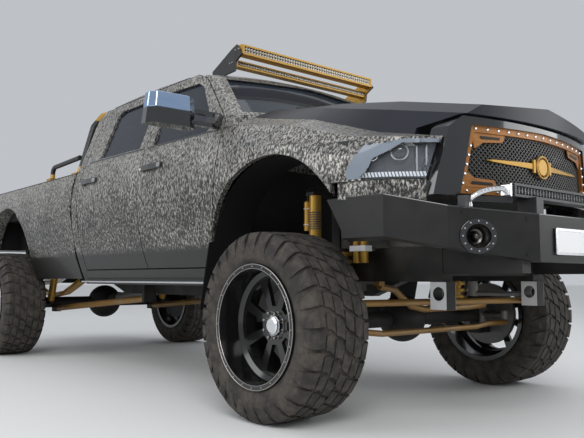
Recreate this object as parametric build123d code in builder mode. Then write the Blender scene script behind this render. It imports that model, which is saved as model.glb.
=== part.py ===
from build123d import *
from math import asin, cos, degrees, radians, sin, sqrt
import os

# Lifted crew cab pickup truck with a long bed, in millimetres.
# +Z is up, -Y is forward, and +X is the truck's left side.
# Stations named "aft" are measured rearward from the front axle.

os.makedirs("parts", exist_ok=True)

# Overall lengths
WHEELBASE = 4077
FRONT_REACH = 1138
REAR_REACH = 5345
FRONT_AXLE_Y = (FRONT_REACH - REAR_REACH) / 2

# Wheels
TYRE_RADIUS = 478
TYRE_WIDTH = 380
HALF_TRACK = 974
RIM_RADIUS = 314
RIM_WIDTH = 370
RIM_BARREL = 278
BEAD_RADIUS = 296
BARREL_WALL = 10
HUB_RADIUS = 88
HUB_FACE = 20
CAP_FACE = 46
CAP_RADIUS = 50
SPOKES = 8
AXLE_HEIGHT = TYRE_RADIUS
FIT_GAP = 0.3

# Cab and body
COWL = 465
CAB_REAR = 2600
BED_GAP = 40
BED_FRONT = CAB_REAR + BED_GAP
BED_REAR = 5215
HALF_WIDTH = 1007
SILL_HEIGHT = 672
BELT_HEIGHT = 1612
ROOF_HEIGHT = 2168
CROWN_RADIUS = 4800
CROWN_AXIS_Z = ROOF_HEIGHT - CROWN_RADIUS
CAB_WALL = 60
DOOR_SKIN = 25
DOOR_DEPTH = 105
DOOR_LAP = 42
SHUT_GAP = 8
HINGE_LEAD = 7
GLASS_DEPTH = 16
GLASS_THICKNESS = 6
FRONT_SEAM = 560
MIDDLE_SEAM = 1509
REAR_SEAM = 2500
DOOR_BOTTOM = 785
DOOR_TOP = 2074

# Body sides, half width at each height, from the sill to the belt
SIDE_LOW = (862, SILL_HEIGHT)
SIDE_LOW_MID = (948, 900)
SIDE_WIDEST = (HALF_WIDTH, 1270)
SIDE_HIGH_MID = (993, 1440)
SIDE_BELT = (944, BELT_HEIGHT)
ROOF_RAIL_LOW = (806, 2012)
ROOF_RAIL_MID = (786, 2078)
ROOF_RAIL_HIGH = (735, 2125)

# Chassis
RAIL_X = 420
RAIL_WIDTH = 80
RAIL_WALL = 14
AXLE_TUBE = 48
KINGPIN_X = 800
STEER_LIMIT = 30

CHASSIS = Plane(origin=(0, FRONT_AXLE_Y, 0))
SIDE = Plane(origin=(0, FRONT_AXLE_Y, 0), x_dir=(0, 1, 0), z_dir=(1, 0, 0))


def across(aft):
    """Front-view plane at a station: local x is across, local y is height."""
    return Plane(origin=(0, FRONT_AXLE_Y + aft, 0), x_dir=(1, 0, 0), z_dir=(0, -1, 0))


def level(height):
    """Plan-view plane at a height: local x is across, local y is aft."""
    return CHASSIS.offset(height)


def save(piece, name):
    piece.part.label = name
    export_step(piece.part, "parts/" + name + ".step")


def both_sides(piece):
    """A piece made for the left side, with its mirror image on the right."""
    with BuildPart() as pair:
        add(piece.part)
        mirror(piece.part, about=Plane.YZ)
    return pair


def right_hand(piece):
    """The mirror image of a piece made for the left side."""
    with BuildPart() as other:
        mirror(piece.part, about=Plane.YZ)
    return other


def slab(across_range, aft_range, height_range, mode=Mode.ADD):
    """A plain box given by its ranges across, aft and in height."""
    x0, x1 = across_range
    y0, y1 = aft_range
    z0, z1 = height_range
    with Locations(((x0 + x1) / 2, FRONT_AXLE_Y + (y0 + y1) / 2, (z0 + z1) / 2)):
        Box(x1 - x0, y1 - y0, z1 - z0, mode=mode)


def twin_slabs(across_range, aft_range, height_range, mode=Mode.ADD):
    """The same box on both sides of the truck."""
    x0, x1 = across_range
    slab((x0, x1), aft_range, height_range, mode)
    slab((-x1, -x0), aft_range, height_range, mode)


def rod(start, end, radius, mode=Mode.ADD):
    """A round bar between two points given as (across, aft, height)."""
    foot = Vector(start[0], FRONT_AXLE_Y + start[1], start[2])
    head = Vector(end[0], FRONT_AXLE_Y + end[1], end[2])
    with BuildSketch(Plane(origin=foot, z_dir=head - foot)) as end:
        Circle(radius)
    extrude(end.sketch, amount=(head - foot).length, mode=mode)


def bent_bar(points, radius, bend):
    """A round bar bent through points given as (across, aft, height)."""
    corners = [Vector(x, FRONT_AXLE_Y + aft, z) for x, aft, z in points]
    with BuildLine() as path:
        FilletPolyline(*corners, radius=bend)
    with BuildSketch(Plane(origin=path.line @ 0, z_dir=path.line % 0)) as end:
        Circle(radius)
    sweep(end.sketch, path=path.line)


def side_plate(outline, inner, outer, mode=Mode.ADD):
    """A side-view outline given as (aft, height), extruded between two stations across."""
    with BuildSketch(SIDE.offset(inner)) as plate:
        Polygon(*outline, align=None)
    extrude(plate.sketch, amount=outer - inner, mode=mode)


def front_plate(outline, front, rear, mode=Mode.ADD):
    """A front-view outline given as (across, height), extruded between two stations."""
    with BuildSketch(across(rear)) as plate:
        Polygon(*outline, align=None)
    extrude(plate.sketch, amount=rear - front, mode=mode)


def plan_plate(outline, low, high, mode=Mode.ADD):
    """A plan outline given as (across, aft), extruded between two heights."""
    with BuildSketch(level(low)) as plate:
        Polygon(*outline, align=None)
    extrude(plate.sketch, amount=high - low, mode=mode)


def drum(centre, radius, across_range, mode=Mode.ADD):
    """A cylinder across the truck about a point given as (aft, height)."""
    with BuildSketch(SIDE.offset(across_range[0])) as disc:
        with Locations(centre):
            Circle(radius)
    extrude(disc.sketch, amount=across_range[1] - across_range[0], mode=mode)


def both_halves(outline):
    """A half outline starting and ending on the centre line, closed by its mirror image."""
    return outline + [(-x, y) for x, y in reversed(outline) if x != 0]


# Chassis frame: two rails with welded crossmembers
RAIL_LINE = [
    (-640, 700),
    (330, 700),
    (620, 590),
    (2700, 590),
    (3250, 760),
    (5180, 760),
    (5180, 930),
    (3210, 930),
    (2660, 770),
    (660, 770),
    (370, 880),
    (-640, 880),
]
CROSSMEMBERS = [
    (-620, 730, 120),
    (900, 592, 38),
    (1500, 592, 38),
    (2240, 592, 38),
    (3450, 840, 85),
    (4760, 790, 110),
    (5120, 790, 110),
]
BODY_PADS = [780, 1700, 2480]
BED_PADS = [2820, 3500, 4600, 5080]
RAIL_INNER = RAIL_X - RAIL_WIDTH / 2
RAIL_OUTER = RAIL_X + RAIL_WIDTH / 2
FLOOR_LOW = 800
FLOOR_HIGH = 840
BED_FLOOR_LOW = 1005
BED_FLOOR_HIGH = 1060
TOW_EYE = (-404, 672)
TOW_EYE_RADIUS = 34
SHOCK_TOP = 1180

with BuildPart() as frame:
    for side_low in (RAIL_INNER, -RAIL_OUTER):
        side_plate(RAIL_LINE, side_low, side_low + RAIL_WIDTH)
    for aft, low, tall in CROSSMEMBERS:
        slab((-RAIL_INNER - 5, RAIL_INNER + 5), (aft, aft + 70), (low, low + tall))
    for aft in BODY_PADS:
        with Locations(*[(x, FRONT_AXLE_Y + aft, 785) for x in (-RAIL_X, RAIL_X)]):
            Cylinder(32, 30)
    for aft in BED_PADS:
        base = 770 if aft < 3000 else 930
        twin_slabs((RAIL_INNER, RAIL_OUTER), (aft, aft + 60), (base - 40, BED_FLOOR_LOW))
    twin_slabs((384, 456), (-660, -560), (560, 702))
    twin_slabs((RAIL_OUTER - 5, 610), (-70, 70), (862, 880))
    twin_slabs((RAIL_OUTER + FIT_GAP, 472), (70.3, 135), (760, 1190))
    twin_slabs((RAIL_OUTER + FIT_GAP, 675), (70.3, 135), (SHOCK_TOP + FIT_GAP, 1200))
    twin_slabs((442, 498), (1153.4, 1190), (530, 660))
    twin_slabs((RAIL_OUTER - 10, 557), (2200, 2237.6), (525, 680))
    twin_slabs((RAIL_OUTER - 10, 568), (3370, 3399.7), (680, 850))
    twin_slabs((RAIL_OUTER - 10, 568), (4800.3, 4830), (680, 850))
    twin_slabs((RAIL_OUTER - 10, 650), (3790, 3870), (872, 895))
    drum((-612, 640), TOW_EYE_RADIUS, (-480, 480), Mode.SUBTRACT)
save(frame, "frame")

# Engine block and the driveline behind it
with BuildPart() as engine_block:
    slab((-290, 290), (-400, 320), (960, 1420))
    slab((-200, 200), (-330, 320), (905, 960))
    slab((-440, 440), (-60, 20), (880.3, 930))
save(engine_block, "engine_block")

DIFF_X = -20
FRONT_DIFF_RADIUS = 125
REAR_DIFF_RADIUS = 165
with BuildPart() as driveline:
    slab((-130, 130), (320.3, 560), (680, 795))
    slab((-130, 130), (320.3, 450), (795, 1100))
    slab((-140, 150), (450, 1180), (630.3, 792))
    rod((0, 1170, 700), (0, 2330, 692), 48)
    rod((0, 2330, 692), (0, 3735, 519), 48)
    with Locations((0, FRONT_AXLE_Y + 2330, 692)):
        Sphere(58)
save(driveline, "driveline")

with BuildPart() as exhaust:
    bent_bar(
        [
            (-245, 340, 900),
            (-245, 560, 690),
            (-245, 3250, 690),
            (-245, 3650, 820),
            (-245, 4300, 820),
            (-245, 4720, 700),
            (-560, 4990, 652),
            (-900, 5040, 650),
        ],
        44,
        70,
    )
    rod((-245, 1650, 690), (-245, 2180, 690), 92)
    slab((0.3 - RAIL_INNER, -240), (2500, 2530), (680, 700))
save(exhaust, "exhaust")

with BuildPart() as fuel_tank:
    slab((120, 366), (1580, 2225), (540, 765))
    for aft in (1700, 2060):
        slab((360, RAIL_INNER - FIT_GAP), (aft, aft + 40), (650, 700))
save(fuel_tank, "fuel_tank")

# Solid axles
COIL_FOOT = 545
COIL_TOP = 861.7
SHOCK_FOOT = 560
COIL_TURNS = 8
COIL_WIRE = 18
YOKE_OUTER = 842
YOKE_INNER = 709
with BuildPart() as front_axle:
    rod((-YOKE_INNER - 2, 0, AXLE_HEIGHT), (YOKE_INNER + 2, 0, AXLE_HEIGHT), AXLE_TUBE)
    with Locations((DIFF_X, FRONT_AXLE_Y, AXLE_HEIGHT)):
        Sphere(FRONT_DIFF_RADIUS + 15)
    rod((DIFF_X, -60, AXLE_HEIGHT), (DIFF_X, 260, AXLE_HEIGHT + 20), 66)
    for side_low in (YOKE_INNER, -YOKE_OUTER):
        side_span = (side_low, side_low + YOKE_OUTER - YOKE_INNER)
        slab(side_span, (-42, 42), (AXLE_HEIGHT + 92, AXLE_HEIGHT + 124))
        slab(side_span, (-42, 42), (AXLE_HEIGHT - 124, AXLE_HEIGHT - 92))
    twin_slabs((YOKE_INNER, 735), (-30, 30), (AXLE_HEIGHT - 124, AXLE_HEIGHT + 124))
    twin_slabs((455, 595), (-70, 70), (AXLE_HEIGHT + 36, COIL_FOOT - FIT_GAP))
    twin_slabs((477, 533), (0, 56.6), (410, AXLE_HEIGHT))
    twin_slabs((610, 670), (20, 130), (500, SHOCK_FOOT - FIT_GAP))
    slab((535, 585), (-165.7, -75), (495, 560))
    slab((535, 585), (-80, -30), (495, 530))
save(front_axle, "front_axle")

REAR_HUB_INNER = 880
with BuildPart() as rear_axle:
    rod((-REAR_HUB_INNER, WHEELBASE, AXLE_HEIGHT), (REAR_HUB_INNER, WHEELBASE, AXLE_HEIGHT), 52)
    with Locations((0, FRONT_AXLE_Y + WHEELBASE, AXLE_HEIGHT)):
        Sphere(REAR_DIFF_RADIUS)
    rod((0, WHEELBASE, AXLE_HEIGHT), (0, WHEELBASE - 340, AXLE_HEIGHT + 40), 60)
    twin_slabs((500, 560), (3992.4, 4077), (388, 476))
    twin_slabs((598, 642), (3925, 4077), (466, 488.4))
    for x0, x1 in ((858, 890), (-890, -858)):
        drum((WHEELBASE, AXLE_HEIGHT), 205, (x0, x1))
    for x0, x1 in ((880, 985), (-985, -880)):
        drum((WHEELBASE, AXLE_HEIGHT), 70, (x0, x1))
save(rear_axle, "rear_axle")

# Steering knuckles, tie rod, drag link and pitman arm
TIE_X = KINGPIN_X - 50
TIE_AFT = -210
TIE_HEIGHT = 478
DRAG_X = KINGPIN_X - 80
DRAG_AFT = -300
DRAG_HEIGHT = 590
PITMAN_X = 380
PITMAN_AFT = -230
KNUCKLE_HALF = 90
BALL_RADIUS = 24
with BuildPart() as knuckle_left:
    with Locations((KINGPIN_X, FRONT_AXLE_Y, AXLE_HEIGHT)):
        Cylinder(38, 2 * KNUCKLE_HALF)
    drum((0, AXLE_HEIGHT), 70, (KINGPIN_X, 985))
    drum((0, AXLE_HEIGHT), 205, (868, 898))
    rod((KINGPIN_X, 0, AXLE_HEIGHT), (TIE_X, TIE_AFT, TIE_HEIGHT), 20)
    with Locations((TIE_X, FRONT_AXLE_Y + TIE_AFT, TIE_HEIGHT)):
        Cylinder(BALL_RADIUS, 56)
save(knuckle_left, "knuckle_left")

with BuildPart() as knuckle_right:
    add(right_hand(knuckle_left).part)
    rod((-KINGPIN_X, 0, AXLE_HEIGHT + 60), (-DRAG_X, DRAG_AFT, DRAG_HEIGHT - 36), 18)
    with Locations((-DRAG_X, FRONT_AXLE_Y + DRAG_AFT, DRAG_HEIGHT - 32)):
        Cylinder(22, 24)
save(knuckle_right, "knuckle_right")

with BuildPart() as tie_rod:
    bent_bar(
        [
            (-TIE_X - 20, TIE_AFT, TIE_HEIGHT - 46),
            (-560, TIE_AFT, TIE_HEIGHT - 46),
            (-430, TIE_AFT, 418),
            (430, TIE_AFT, 418),
            (560, TIE_AFT, TIE_HEIGHT - 46),
            (TIE_X + 20, TIE_AFT, TIE_HEIGHT - 46),
        ],
        17,
        60,
    )
save(tie_rod, "tie_rod")

with BuildPart() as drag_link:
    rod((-DRAG_X, DRAG_AFT, DRAG_HEIGHT), (PITMAN_X + 80, PITMAN_AFT + DRAG_AFT, DRAG_HEIGHT), 18)
save(drag_link, "drag_link")

with BuildPart() as pitman_arm:
    with Locations((PITMAN_X, FRONT_AXLE_Y + PITMAN_AFT, 653)):
        Cylinder(30, 90)
    rod((PITMAN_X, PITMAN_AFT, 625), (PITMAN_X + 80, PITMAN_AFT + DRAG_AFT, 625), 15)
save(pitman_arm, "pitman_arm")

# Springs, dampers and suspension links
with BuildPart() as springs_and_dampers:
    for side in (-1, 1):
        rod((side * 526, 0, COIL_FOOT), (side * 526, 0, COIL_TOP), 36)
        for turn in range(COIL_TURNS):
            low = COIL_FOOT + turn * (COIL_TOP - COIL_FOOT - COIL_WIRE) / (COIL_TURNS - 1)
            rod((side * 526, 0, low), (side * 526, 0, low + COIL_WIRE), 58)
        rod((side * 640, 95, SHOCK_FOOT), (side * 640, 95, SHOCK_TOP), 34)
        side_span = (side * 530 - 38, side * 530 + 38)
        leaf = [(3400, 690), (3800, 560), (4077, 530.3), (4350, 560), (4800, 690)]
        leaf_under = [(4800, 722), (4360, 594), (4077, 568), (3790, 594), (3400, 722)]
        side_plate(leaf + leaf_under, *side_span)
        rod((side * 620, 3960, 501), (side * 620, 3830, 860), 34)
save(springs_and_dampers, "springs_and_dampers")

with BuildPart() as suspension_links:
    for side in (-1, 1):
        rod((side * 505, 60, 440), (side * 470, 1150, 560), 28)
        rod((side * 530, 3990, 420), (side * 530, 2240, 555), 27)
    bent_bar(
        [
            (-424, -185, 672),
            (-300, -185, 655),
            (-160, -185, 560),
            (-40, -185, 538),
            (390, -185, 540),
            (560, -185, 548),
        ],
        19,
        50,
    )
    slab((-446, -402), (-205, -165), (676, 699.7))
save(suspension_links, "suspension_links")

# Wheels, built about their own centre with +X outward
TYRE_SECTION = [
    (-167, BEAD_RADIUS),
    (-167, 318),
    (-184, 332),
    (-190, 388),
    (-186, 440),
    (-158, 474),
    (-60, TYRE_RADIUS),
    (60, TYRE_RADIUS),
    (158, 474),
    (186, 440),
    (190, 388),
    (184, 332),
    (167, 318),
    (167, BEAD_RADIUS),
    (142, BEAD_RADIUS),
    (158, 380),
    (150, 438),
    (0, 446),
    (-150, 438),
    (-158, 380),
    (-142, BEAD_RADIUS),
]
RIM_SECTION = [
    (-182, 286),
    (-182, RIM_RADIUS),
    (-168, RIM_RADIUS),
    (-168, BEAD_RADIUS - FIT_GAP),
    (-60, BEAD_RADIUS - FIT_GAP),
    (-40, 272),
    (40, 272),
    (60, BEAD_RADIUS - FIT_GAP),
    (168, BEAD_RADIUS - FIT_GAP),
    (168, RIM_RADIUS),
    (182, RIM_RADIUS),
    (182, 286),
    (60, 282),
    (46, 258),
    (-46, 258),
    (-60, 282),
]

LUGS = 28
LUG_GAP = [(415, -8), (424, -13), (490, -17), (490, 17), (424, 13), (415, 8)]
BLOCK_GAP = [(463, -7), (490, -8), (490, 8), (463, 7)]
with BuildPart() as tyre:
    with BuildSketch(Plane.XY):
        Polygon(*TYRE_SECTION, align=None)
    revolve(axis=Axis.X)
    for side, turn in ((1, 0), (-1, 180 / LUGS)):
        with BuildSketch(Plane.YZ.offset(side * 112)) as lug_gaps:
            with PolarLocations(0, LUGS, start_angle=turn):
                Polygon(*LUG_GAP, align=None)
        extrude(lug_gaps.sketch, amount=side * 90, mode=Mode.SUBTRACT)
        with BuildSketch(Plane.YZ.offset(side * 12)) as block_gaps:
            with PolarLocations(0, LUGS, start_angle=turn + 90 / LUGS):
                Polygon(*BLOCK_GAP, align=None)
        extrude(block_gaps.sketch, amount=side * 80, mode=Mode.SUBTRACT)

with BuildPart() as rim:
    with BuildSketch(Plane.XY):
        Polygon(*RIM_SECTION, align=None)
    revolve(axis=Axis.X)
    with BuildSketch(Plane.YZ.offset(12)):
        Circle(266)
    extrude(amount=24)
    with BuildSketch(Plane.YZ.offset(12)):
        with PolarLocations(0, SPOKES):
            Polygon((98, -20), (232, -66), (246, 0), (232, 66), (98, 20), align=None)
    extrude(amount=24, mode=Mode.SUBTRACT)
    with BuildSketch(Plane.YZ.offset(12)):
        Circle(78)
    extrude(amount=26)
    with BuildSketch(Plane.YZ.offset(30)):
        Circle(CAP_RADIUS)
    extrude(amount=16)

WHEELS = [
    ("front_left", 1, 0),
    ("front_right", -1, 0),
    ("rear_left", 1, WHEELBASE),
    ("rear_right", -1, WHEELBASE),
]
for corner, side, aft in WHEELS:
    for kind, pattern in (("rim", rim), ("tyre", tyre)):
        turned = pattern if side == 1 else right_hand(pattern)
        with BuildPart() as wheel_piece:
            with Locations((side * HALF_TRACK, FRONT_AXLE_Y + aft, AXLE_HEIGHT)):
                add(turned.part)
        save(wheel_piece, kind + "_" + corner)

# Cab form: a front-view section crossed with a crowned side profile
WINDSHIELD_BASE = (493, 1767)
WINDSHIELD_TOP = (866, 2078)
ROOF_FRONT = (960, 2112)
ROOF_FALL_FRONT = (1200, 2146)
ROOF_PEAK = (1650, ROOF_HEIGHT)
ROOF_FALL_REAR = (2050, 2160)
ROOF_REAR = (2440, 2140)
CAB_BACK_TOP = (2555, 2075)
CAB_BACK_BELT = (CAB_REAR, 1640)
TOE_BOARD_TOP = (COWL, 1455)
TOE_BOARD_FOOT = (800, 838)
CROWN_HALF_ANGLE = 20
CAB_MIDDLE = (COWL + CAB_REAR) / 2


def cab_section(inset):
    """Front-view outline of the cab, moved inward by an even depth."""
    with BuildSketch(across(CAB_MIDDLE)) as section:
        with BuildLine():
            ThreePointArc(SIDE_LOW, SIDE_LOW_MID, SIDE_WIDEST)
            ThreePointArc(SIDE_WIDEST, SIDE_HIGH_MID, SIDE_BELT)
            Line(SIDE_BELT, ROOF_RAIL_LOW)
            ThreePointArc(ROOF_RAIL_LOW, ROOF_RAIL_MID, ROOF_RAIL_HIGH)
            Polyline(ROOF_RAIL_HIGH, (560, 2300), (0, 2300), (0, SILL_HEIGHT), SIDE_LOW)
        make_face()
        mirror(about=Plane.YZ)
        if inset:
            offset(amount=-inset)
    return section.sketch


def crowned_profile(inset):
    """Side profile of the cab, swept about a low lengthwise axis so that it crowns."""
    lean = radians(CROWN_HALF_ANGLE)
    foot = (sin(lean) * CROWN_AXIS_Z, FRONT_AXLE_Y, CROWN_AXIS_Z * (1 - cos(lean)))
    plane = Plane(origin=foot, x_dir=(0, 1, 0), z_dir=(cos(lean), 0, sin(lean)))
    with BuildPart() as crowned:
        with BuildSketch(plane):
            with BuildLine():
                Polyline(WINDSHIELD_BASE, WINDSHIELD_TOP, ROOF_FRONT)
                Polyline(ROOF_FRONT, ROOF_FALL_FRONT, ROOF_PEAK, ROOF_FALL_REAR, ROOF_REAR)
                Polyline(ROOF_REAR, CAB_BACK_TOP, CAB_BACK_BELT, (CAB_REAR, 200))
                Polyline((CAB_REAR, 200), (TOE_BOARD_FOOT[0], 200), TOE_BOARD_FOOT)
                Polyline(TOE_BOARD_FOOT, TOE_BOARD_TOP, (COWL, 1700), WINDSHIELD_BASE)
            make_face()
            if inset:
                offset(amount=-inset)
        revolve(
            axis=Axis((0, FRONT_AXLE_Y, CROWN_AXIS_Z), (0, 1, 0)),
            revolution_arc=2 * CROWN_HALF_ANGLE,
        )
    return crowned.part


def side_form(inset):
    """The cab's front-view section alone, run the length of the doors."""
    with BuildPart() as form:
        extrude(cab_section(inset), amount=(CAB_REAR - COWL) / 2 + 60, both=True)
    return form.part


def cab_form(inset):
    """The cab's outer skin moved inward by an even depth."""
    with BuildPart() as form:
        with BuildSketch(across(CAB_MIDDLE)):
            add(cab_section(inset))
        extrude(amount=(CAB_REAR - COWL) / 2 + 20, both=True)
        add(crowned_profile(inset), mode=Mode.INTERSECT)
    return form.part


def skin_layer(outer, inner):
    """The layer of the cab's skin between two depths."""
    with BuildPart() as layer:
        add(outer)
        add(inner, mode=Mode.SUBTRACT)
    return layer.part


REBATE_DEPTH = DOOR_SKIN + 7
FRAME_DEPTH = 54
JAMB_GAP = 6
form_outer = cab_form(0)
form_glass_outer = cab_form(GLASS_DEPTH)
form_glass_inner = cab_form(GLASS_DEPTH + GLASS_THICKNESS)
form_skin = cab_form(DOOR_SKIN)
form_wall = cab_form(CAB_WALL)

# Doors swing about upright axes on the skin's widest line
FRONT_HINGE = 556
FRONT_SWING = MIDDLE_SEAM - SHUT_GAP / 2 - FRONT_HINGE
REAR_HINGE = FRONT_HINGE + FRONT_SWING + SHUT_GAP - HINGE_LEAD
REAR_SWING = REAR_SEAM - SHUT_GAP / 2 - REAR_HINGE
FRONT_DOOR_OUTLINE = [
    (563, 1640),
    (563, 1400),
    (592, 1150),
    (628, 1029),
    (690, 850),
    (760, DOOR_BOTTOM),
    (1800, DOOR_BOTTOM),
    (1800, DOOR_TOP),
    (1075, DOOR_TOP),
    (985, 2040),
    (905, 1975),
    (603, 1690),
]
REAR_DOOR_OUTLINE = [
    (1400, DOOR_BOTTOM),
    (2700, DOOR_BOTTOM),
    (2700, 1500),
    (2482, 1650),
    (2444, 2010),
    (2396, DOOR_TOP),
    (1400, DOOR_TOP),
]
FRONT_WINDOW = [
    (704, 1650),
    (790, 1752),
    (960, 1960),
    (1040, 2002),
    (1425, 2016),
    (1414, 1618),
    (760, 1600),
]
REAR_WINDOW = [(1604, 1630), (1574, 2016), (2120, 2012), (2190, 1980), (2244, 1640)]
WINDSHIELD_OPENING = [(-838, 1711), (0, 1790), (838, 1711), (728, 2003), (0, 2060), (-728, 2003)]
REAR_OPENING = [(-640, 1660), (640, 1660), (590, 2010), (-590, 2010)]


def door_region(outline, grow, hinge, reach, front_reach):
    """The left door's outline as a block, grown or shrunk, with round swing edges."""
    with BuildPart() as region:
        with BuildSketch(SIDE.offset(800)):
            Polygon(*outline, align=None)
            if grow:
                offset(amount=grow, kind=Kind.INTERSECTION)
        extrude(amount=300, both=True)
        with Locations((HALF_WIDTH, FRONT_AXLE_Y + hinge, 1400)):
            Cylinder(reach, 1600, mode=Mode.INTERSECT)
        if front_reach:
            with Locations((HALF_WIDTH, FRONT_AXLE_Y + FRONT_HINGE, 1400)):
                Cylinder(front_reach, 1600, mode=Mode.SUBTRACT)
    return region.part


def window_block(outline, shrink):
    with BuildPart() as block:
        with BuildSketch(SIDE.offset(800)):
            Polygon(*outline, align=None)
            if shrink:
                offset(amount=-shrink, kind=Kind.INTERSECTION)
        extrude(amount=300, both=True)
    return block.part


skin_door = skin_layer(side_form(0), side_form(DOOR_SKIN))
skin_inner = skin_layer(side_form(DOOR_SKIN), side_form(DOOR_DEPTH))
skin_frame = skin_layer(side_form(DOOR_SKIN), side_form(FRAME_DEPTH))
skin_rebate = skin_layer(side_form(-5), side_form(REBATE_DEPTH))
skin_glass = skin_layer(form_glass_outer, form_glass_inner)

DOORS = [
    ("front", FRONT_DOOR_OUTLINE, FRONT_WINDOW, FRONT_HINGE, FRONT_SWING, 0),
    ("rear", REAR_DOOR_OUTLINE, REAR_WINDOW, REAR_HINGE, REAR_SWING, FRONT_SWING + SHUT_GAP),
]
rebates = []
openings = []
for name, outline, window, hinge, swing, lead in DOORS:
    outside = door_region(outline, 0, hinge, swing, lead)
    inside = door_region(
        outline, -DOOR_LAP, hinge, swing - DOOR_LAP, lead + DOOR_LAP if lead else 0
    )
    rebates.append(
        door_region(outline, SHUT_GAP, hinge, swing + SHUT_GAP, lead - SHUT_GAP if lead else 0)
    )
    reveal = DOOR_LAP - JAMB_GAP
    openings.append(
        door_region(outline, -reveal, hinge, swing - reveal, lead + reveal if lead else 0)
    )
    with BuildPart() as lower:
        add(skin_inner)
        add(inside, mode=Mode.INTERSECT)
        slab((0, 1200), (0, 3000), (BELT_HEIGHT - 12, 2400), Mode.SUBTRACT)
    with BuildPart() as upper:
        add(skin_frame)
        add(inside, mode=Mode.INTERSECT)
        slab((0, 1200), (0, 3000), (0, BELT_HEIGHT - 12), Mode.SUBTRACT)
    with BuildPart() as door:
        add(skin_door)
        add(outside, mode=Mode.INTERSECT)
        add(lower.part)
        add(upper.part)
        add(window_block(window, 0), mode=Mode.SUBTRACT)
    with BuildPart() as pane:
        add(skin_glass)
        add(window_block(window, FIT_GAP), mode=Mode.INTERSECT)
    save(door, "door_" + name + "_left")
    save(right_hand(door), "door_" + name + "_right")
    save(pane, "glass_" + name + "_left")
    save(right_hand(pane), "glass_" + name + "_right")

# Cab shell
FENDER_LAP = 30
LAP_OUTLINE = [
    (430, 700),
    (430, 1604),
    (556, 1604),
    (563, 1590),
    (563, 1400),
    (592, 1150),
    (628, 1029),
]
with BuildPart() as cab_floor:
    slab((-1000, 1000), (740, 2580), (FLOOR_LOW, FLOOR_HIGH))
    add(form_skin, mode=Mode.INTERSECT)

door_cuts = []
for rebate in rebates:
    with BuildPart() as door_seat:
        add(skin_rebate)
        add(rebate, mode=Mode.INTERSECT)
    door_cuts.append(door_seat.part)
for opening in openings:
    with BuildPart() as doorway:
        add(opening)
        slab((0, 800), (0, 3000), (0, 1560), Mode.SUBTRACT)
    door_cuts.append(doorway.part)
with BuildPart() as lap_seat:
    side_plate(LAP_OUTLINE + [(628, 700)], 700, 1100)
    add(skin_rebate, mode=Mode.INTERSECT)
door_cuts.append(lap_seat.part)

with BuildPart() as cab_shell:
    add(form_outer)
    add(form_wall, mode=Mode.SUBTRACT)
    add(cab_floor.part)
    slab((-600, 600), (300, 2700), (500, FLOOR_LOW), Mode.SUBTRACT)
    for cut in door_cuts:
        add(cut, mode=Mode.SUBTRACT)
        mirror(cut, about=Plane.YZ, mode=Mode.SUBTRACT)
    front_plate(WINDSHIELD_OPENING, 380, 1000, Mode.SUBTRACT)
    front_plate(REAR_OPENING, 2480, 2700, Mode.SUBTRACT)
save(cab_shell, "cab_shell")

with BuildPart() as windshield:
    with BuildSketch(across(700)):
        Polygon(*WINDSHIELD_OPENING, align=None)
        offset(amount=-FIT_GAP, kind=Kind.INTERSECTION)
    extrude(amount=300, both=True)
    add(skin_glass, mode=Mode.INTERSECT)
save(windshield, "windshield")

with BuildPart() as rear_glass:
    with BuildSketch(across(2600)):
        Polygon(*REAR_OPENING, align=None)
        offset(amount=-FIT_GAP, kind=Kind.INTERSECTION)
    extrude(amount=110, both=True)
    add(skin_glass, mode=Mode.INTERSECT)
save(rear_glass, "rear_glass")

# Front clip: hood and fenders cut from one lofted form
CLIP_SECTIONS = [
    (
        480,
        [(862, 672), (948, 900), (1007, 1270), (993, 1440), (944, 1608), (785, 1684)],
        [(640, 1745), (505, 1768), (0, 1793)],
    ),
    (
        0,
        [(862, 672), (948, 900), (1007, 1270), (988, 1420), (915, 1530), (722, 1590)],
        [(650, 1665), (505, 1714), (0, 1742)],
    ),
    (
        -430,
        [(862, 672), (948, 900), (985, 1200), (965, 1300), (900, 1405), (680, 1456)],
        [(625, 1580), (505, 1643), (0, 1686)],
    ),
    (
        -1000,
        [(862, 672), (900, 900), (905, 1130), (880, 1240), (790, 1328), (622, 1348)],
        [(575, 1462), (495, 1516), (0, 1573)],
    ),
]
CLIP_WALL = 30
NOSE_WALL = -860
HOOD_REAR = 455
HOOD_GAP = 9
HOOD_EDGE = [(785, 330), (722, 0), (700, -200), (645, -850), (632, -1100)]
NOSE_CENTRE = 1147
NOSE_OUTER = 2120
SURROUND_OUTER = 2097
GRILLE_OUTER = 2068
GRILLE_REAR = 2000
ARCH_CENTRE = (90, 800)
ARCH_RADIUS = 572
LINER_WALL = 8
SURROUND_OUTLINE = [(745, 1100), (720, 1207), (661, 1423), (584, 1478)]
SURROUND_OPENING = [(606, 1110), (534, 1438)]
FENDER_NOSE = [
    (1100, -300),
    (992, -400),
    (962, -478),
    (928, -572),
    (866, -668),
    (772, -768),
    (620, -862),
    (620, 600),
    (1100, 600),
]


def clip_form(inset, front, rear):
    """The front clip's outer form, moved inward by an even depth."""
    with BuildPart() as form:
        for station, lower, upper in CLIP_SECTIONS:
            with BuildSketch(across(station)):
                Polygon(*both_halves([(0, 672)] + lower + upper), align=None)
                if inset:
                    offset(amount=-inset, kind=Kind.INTERSECTION)
        loft(ruled=True)
        slab((-1100, 1100), (front, rear), (400, 2000), Mode.INTERSECT)
    return form.part


clip_outer = clip_form(0, -1000, HOOD_REAR)
clip_inner = clip_form(CLIP_WALL, NOSE_WALL, HOOD_REAR)


def nose_disc(radius):
    """Upright disc whose front edge bows across the nose in plan."""
    with Locations((0, FRONT_AXLE_Y + NOSE_CENTRE, 1300)):
        Cylinder(radius, 1400, mode=Mode.INTERSECT)


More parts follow.
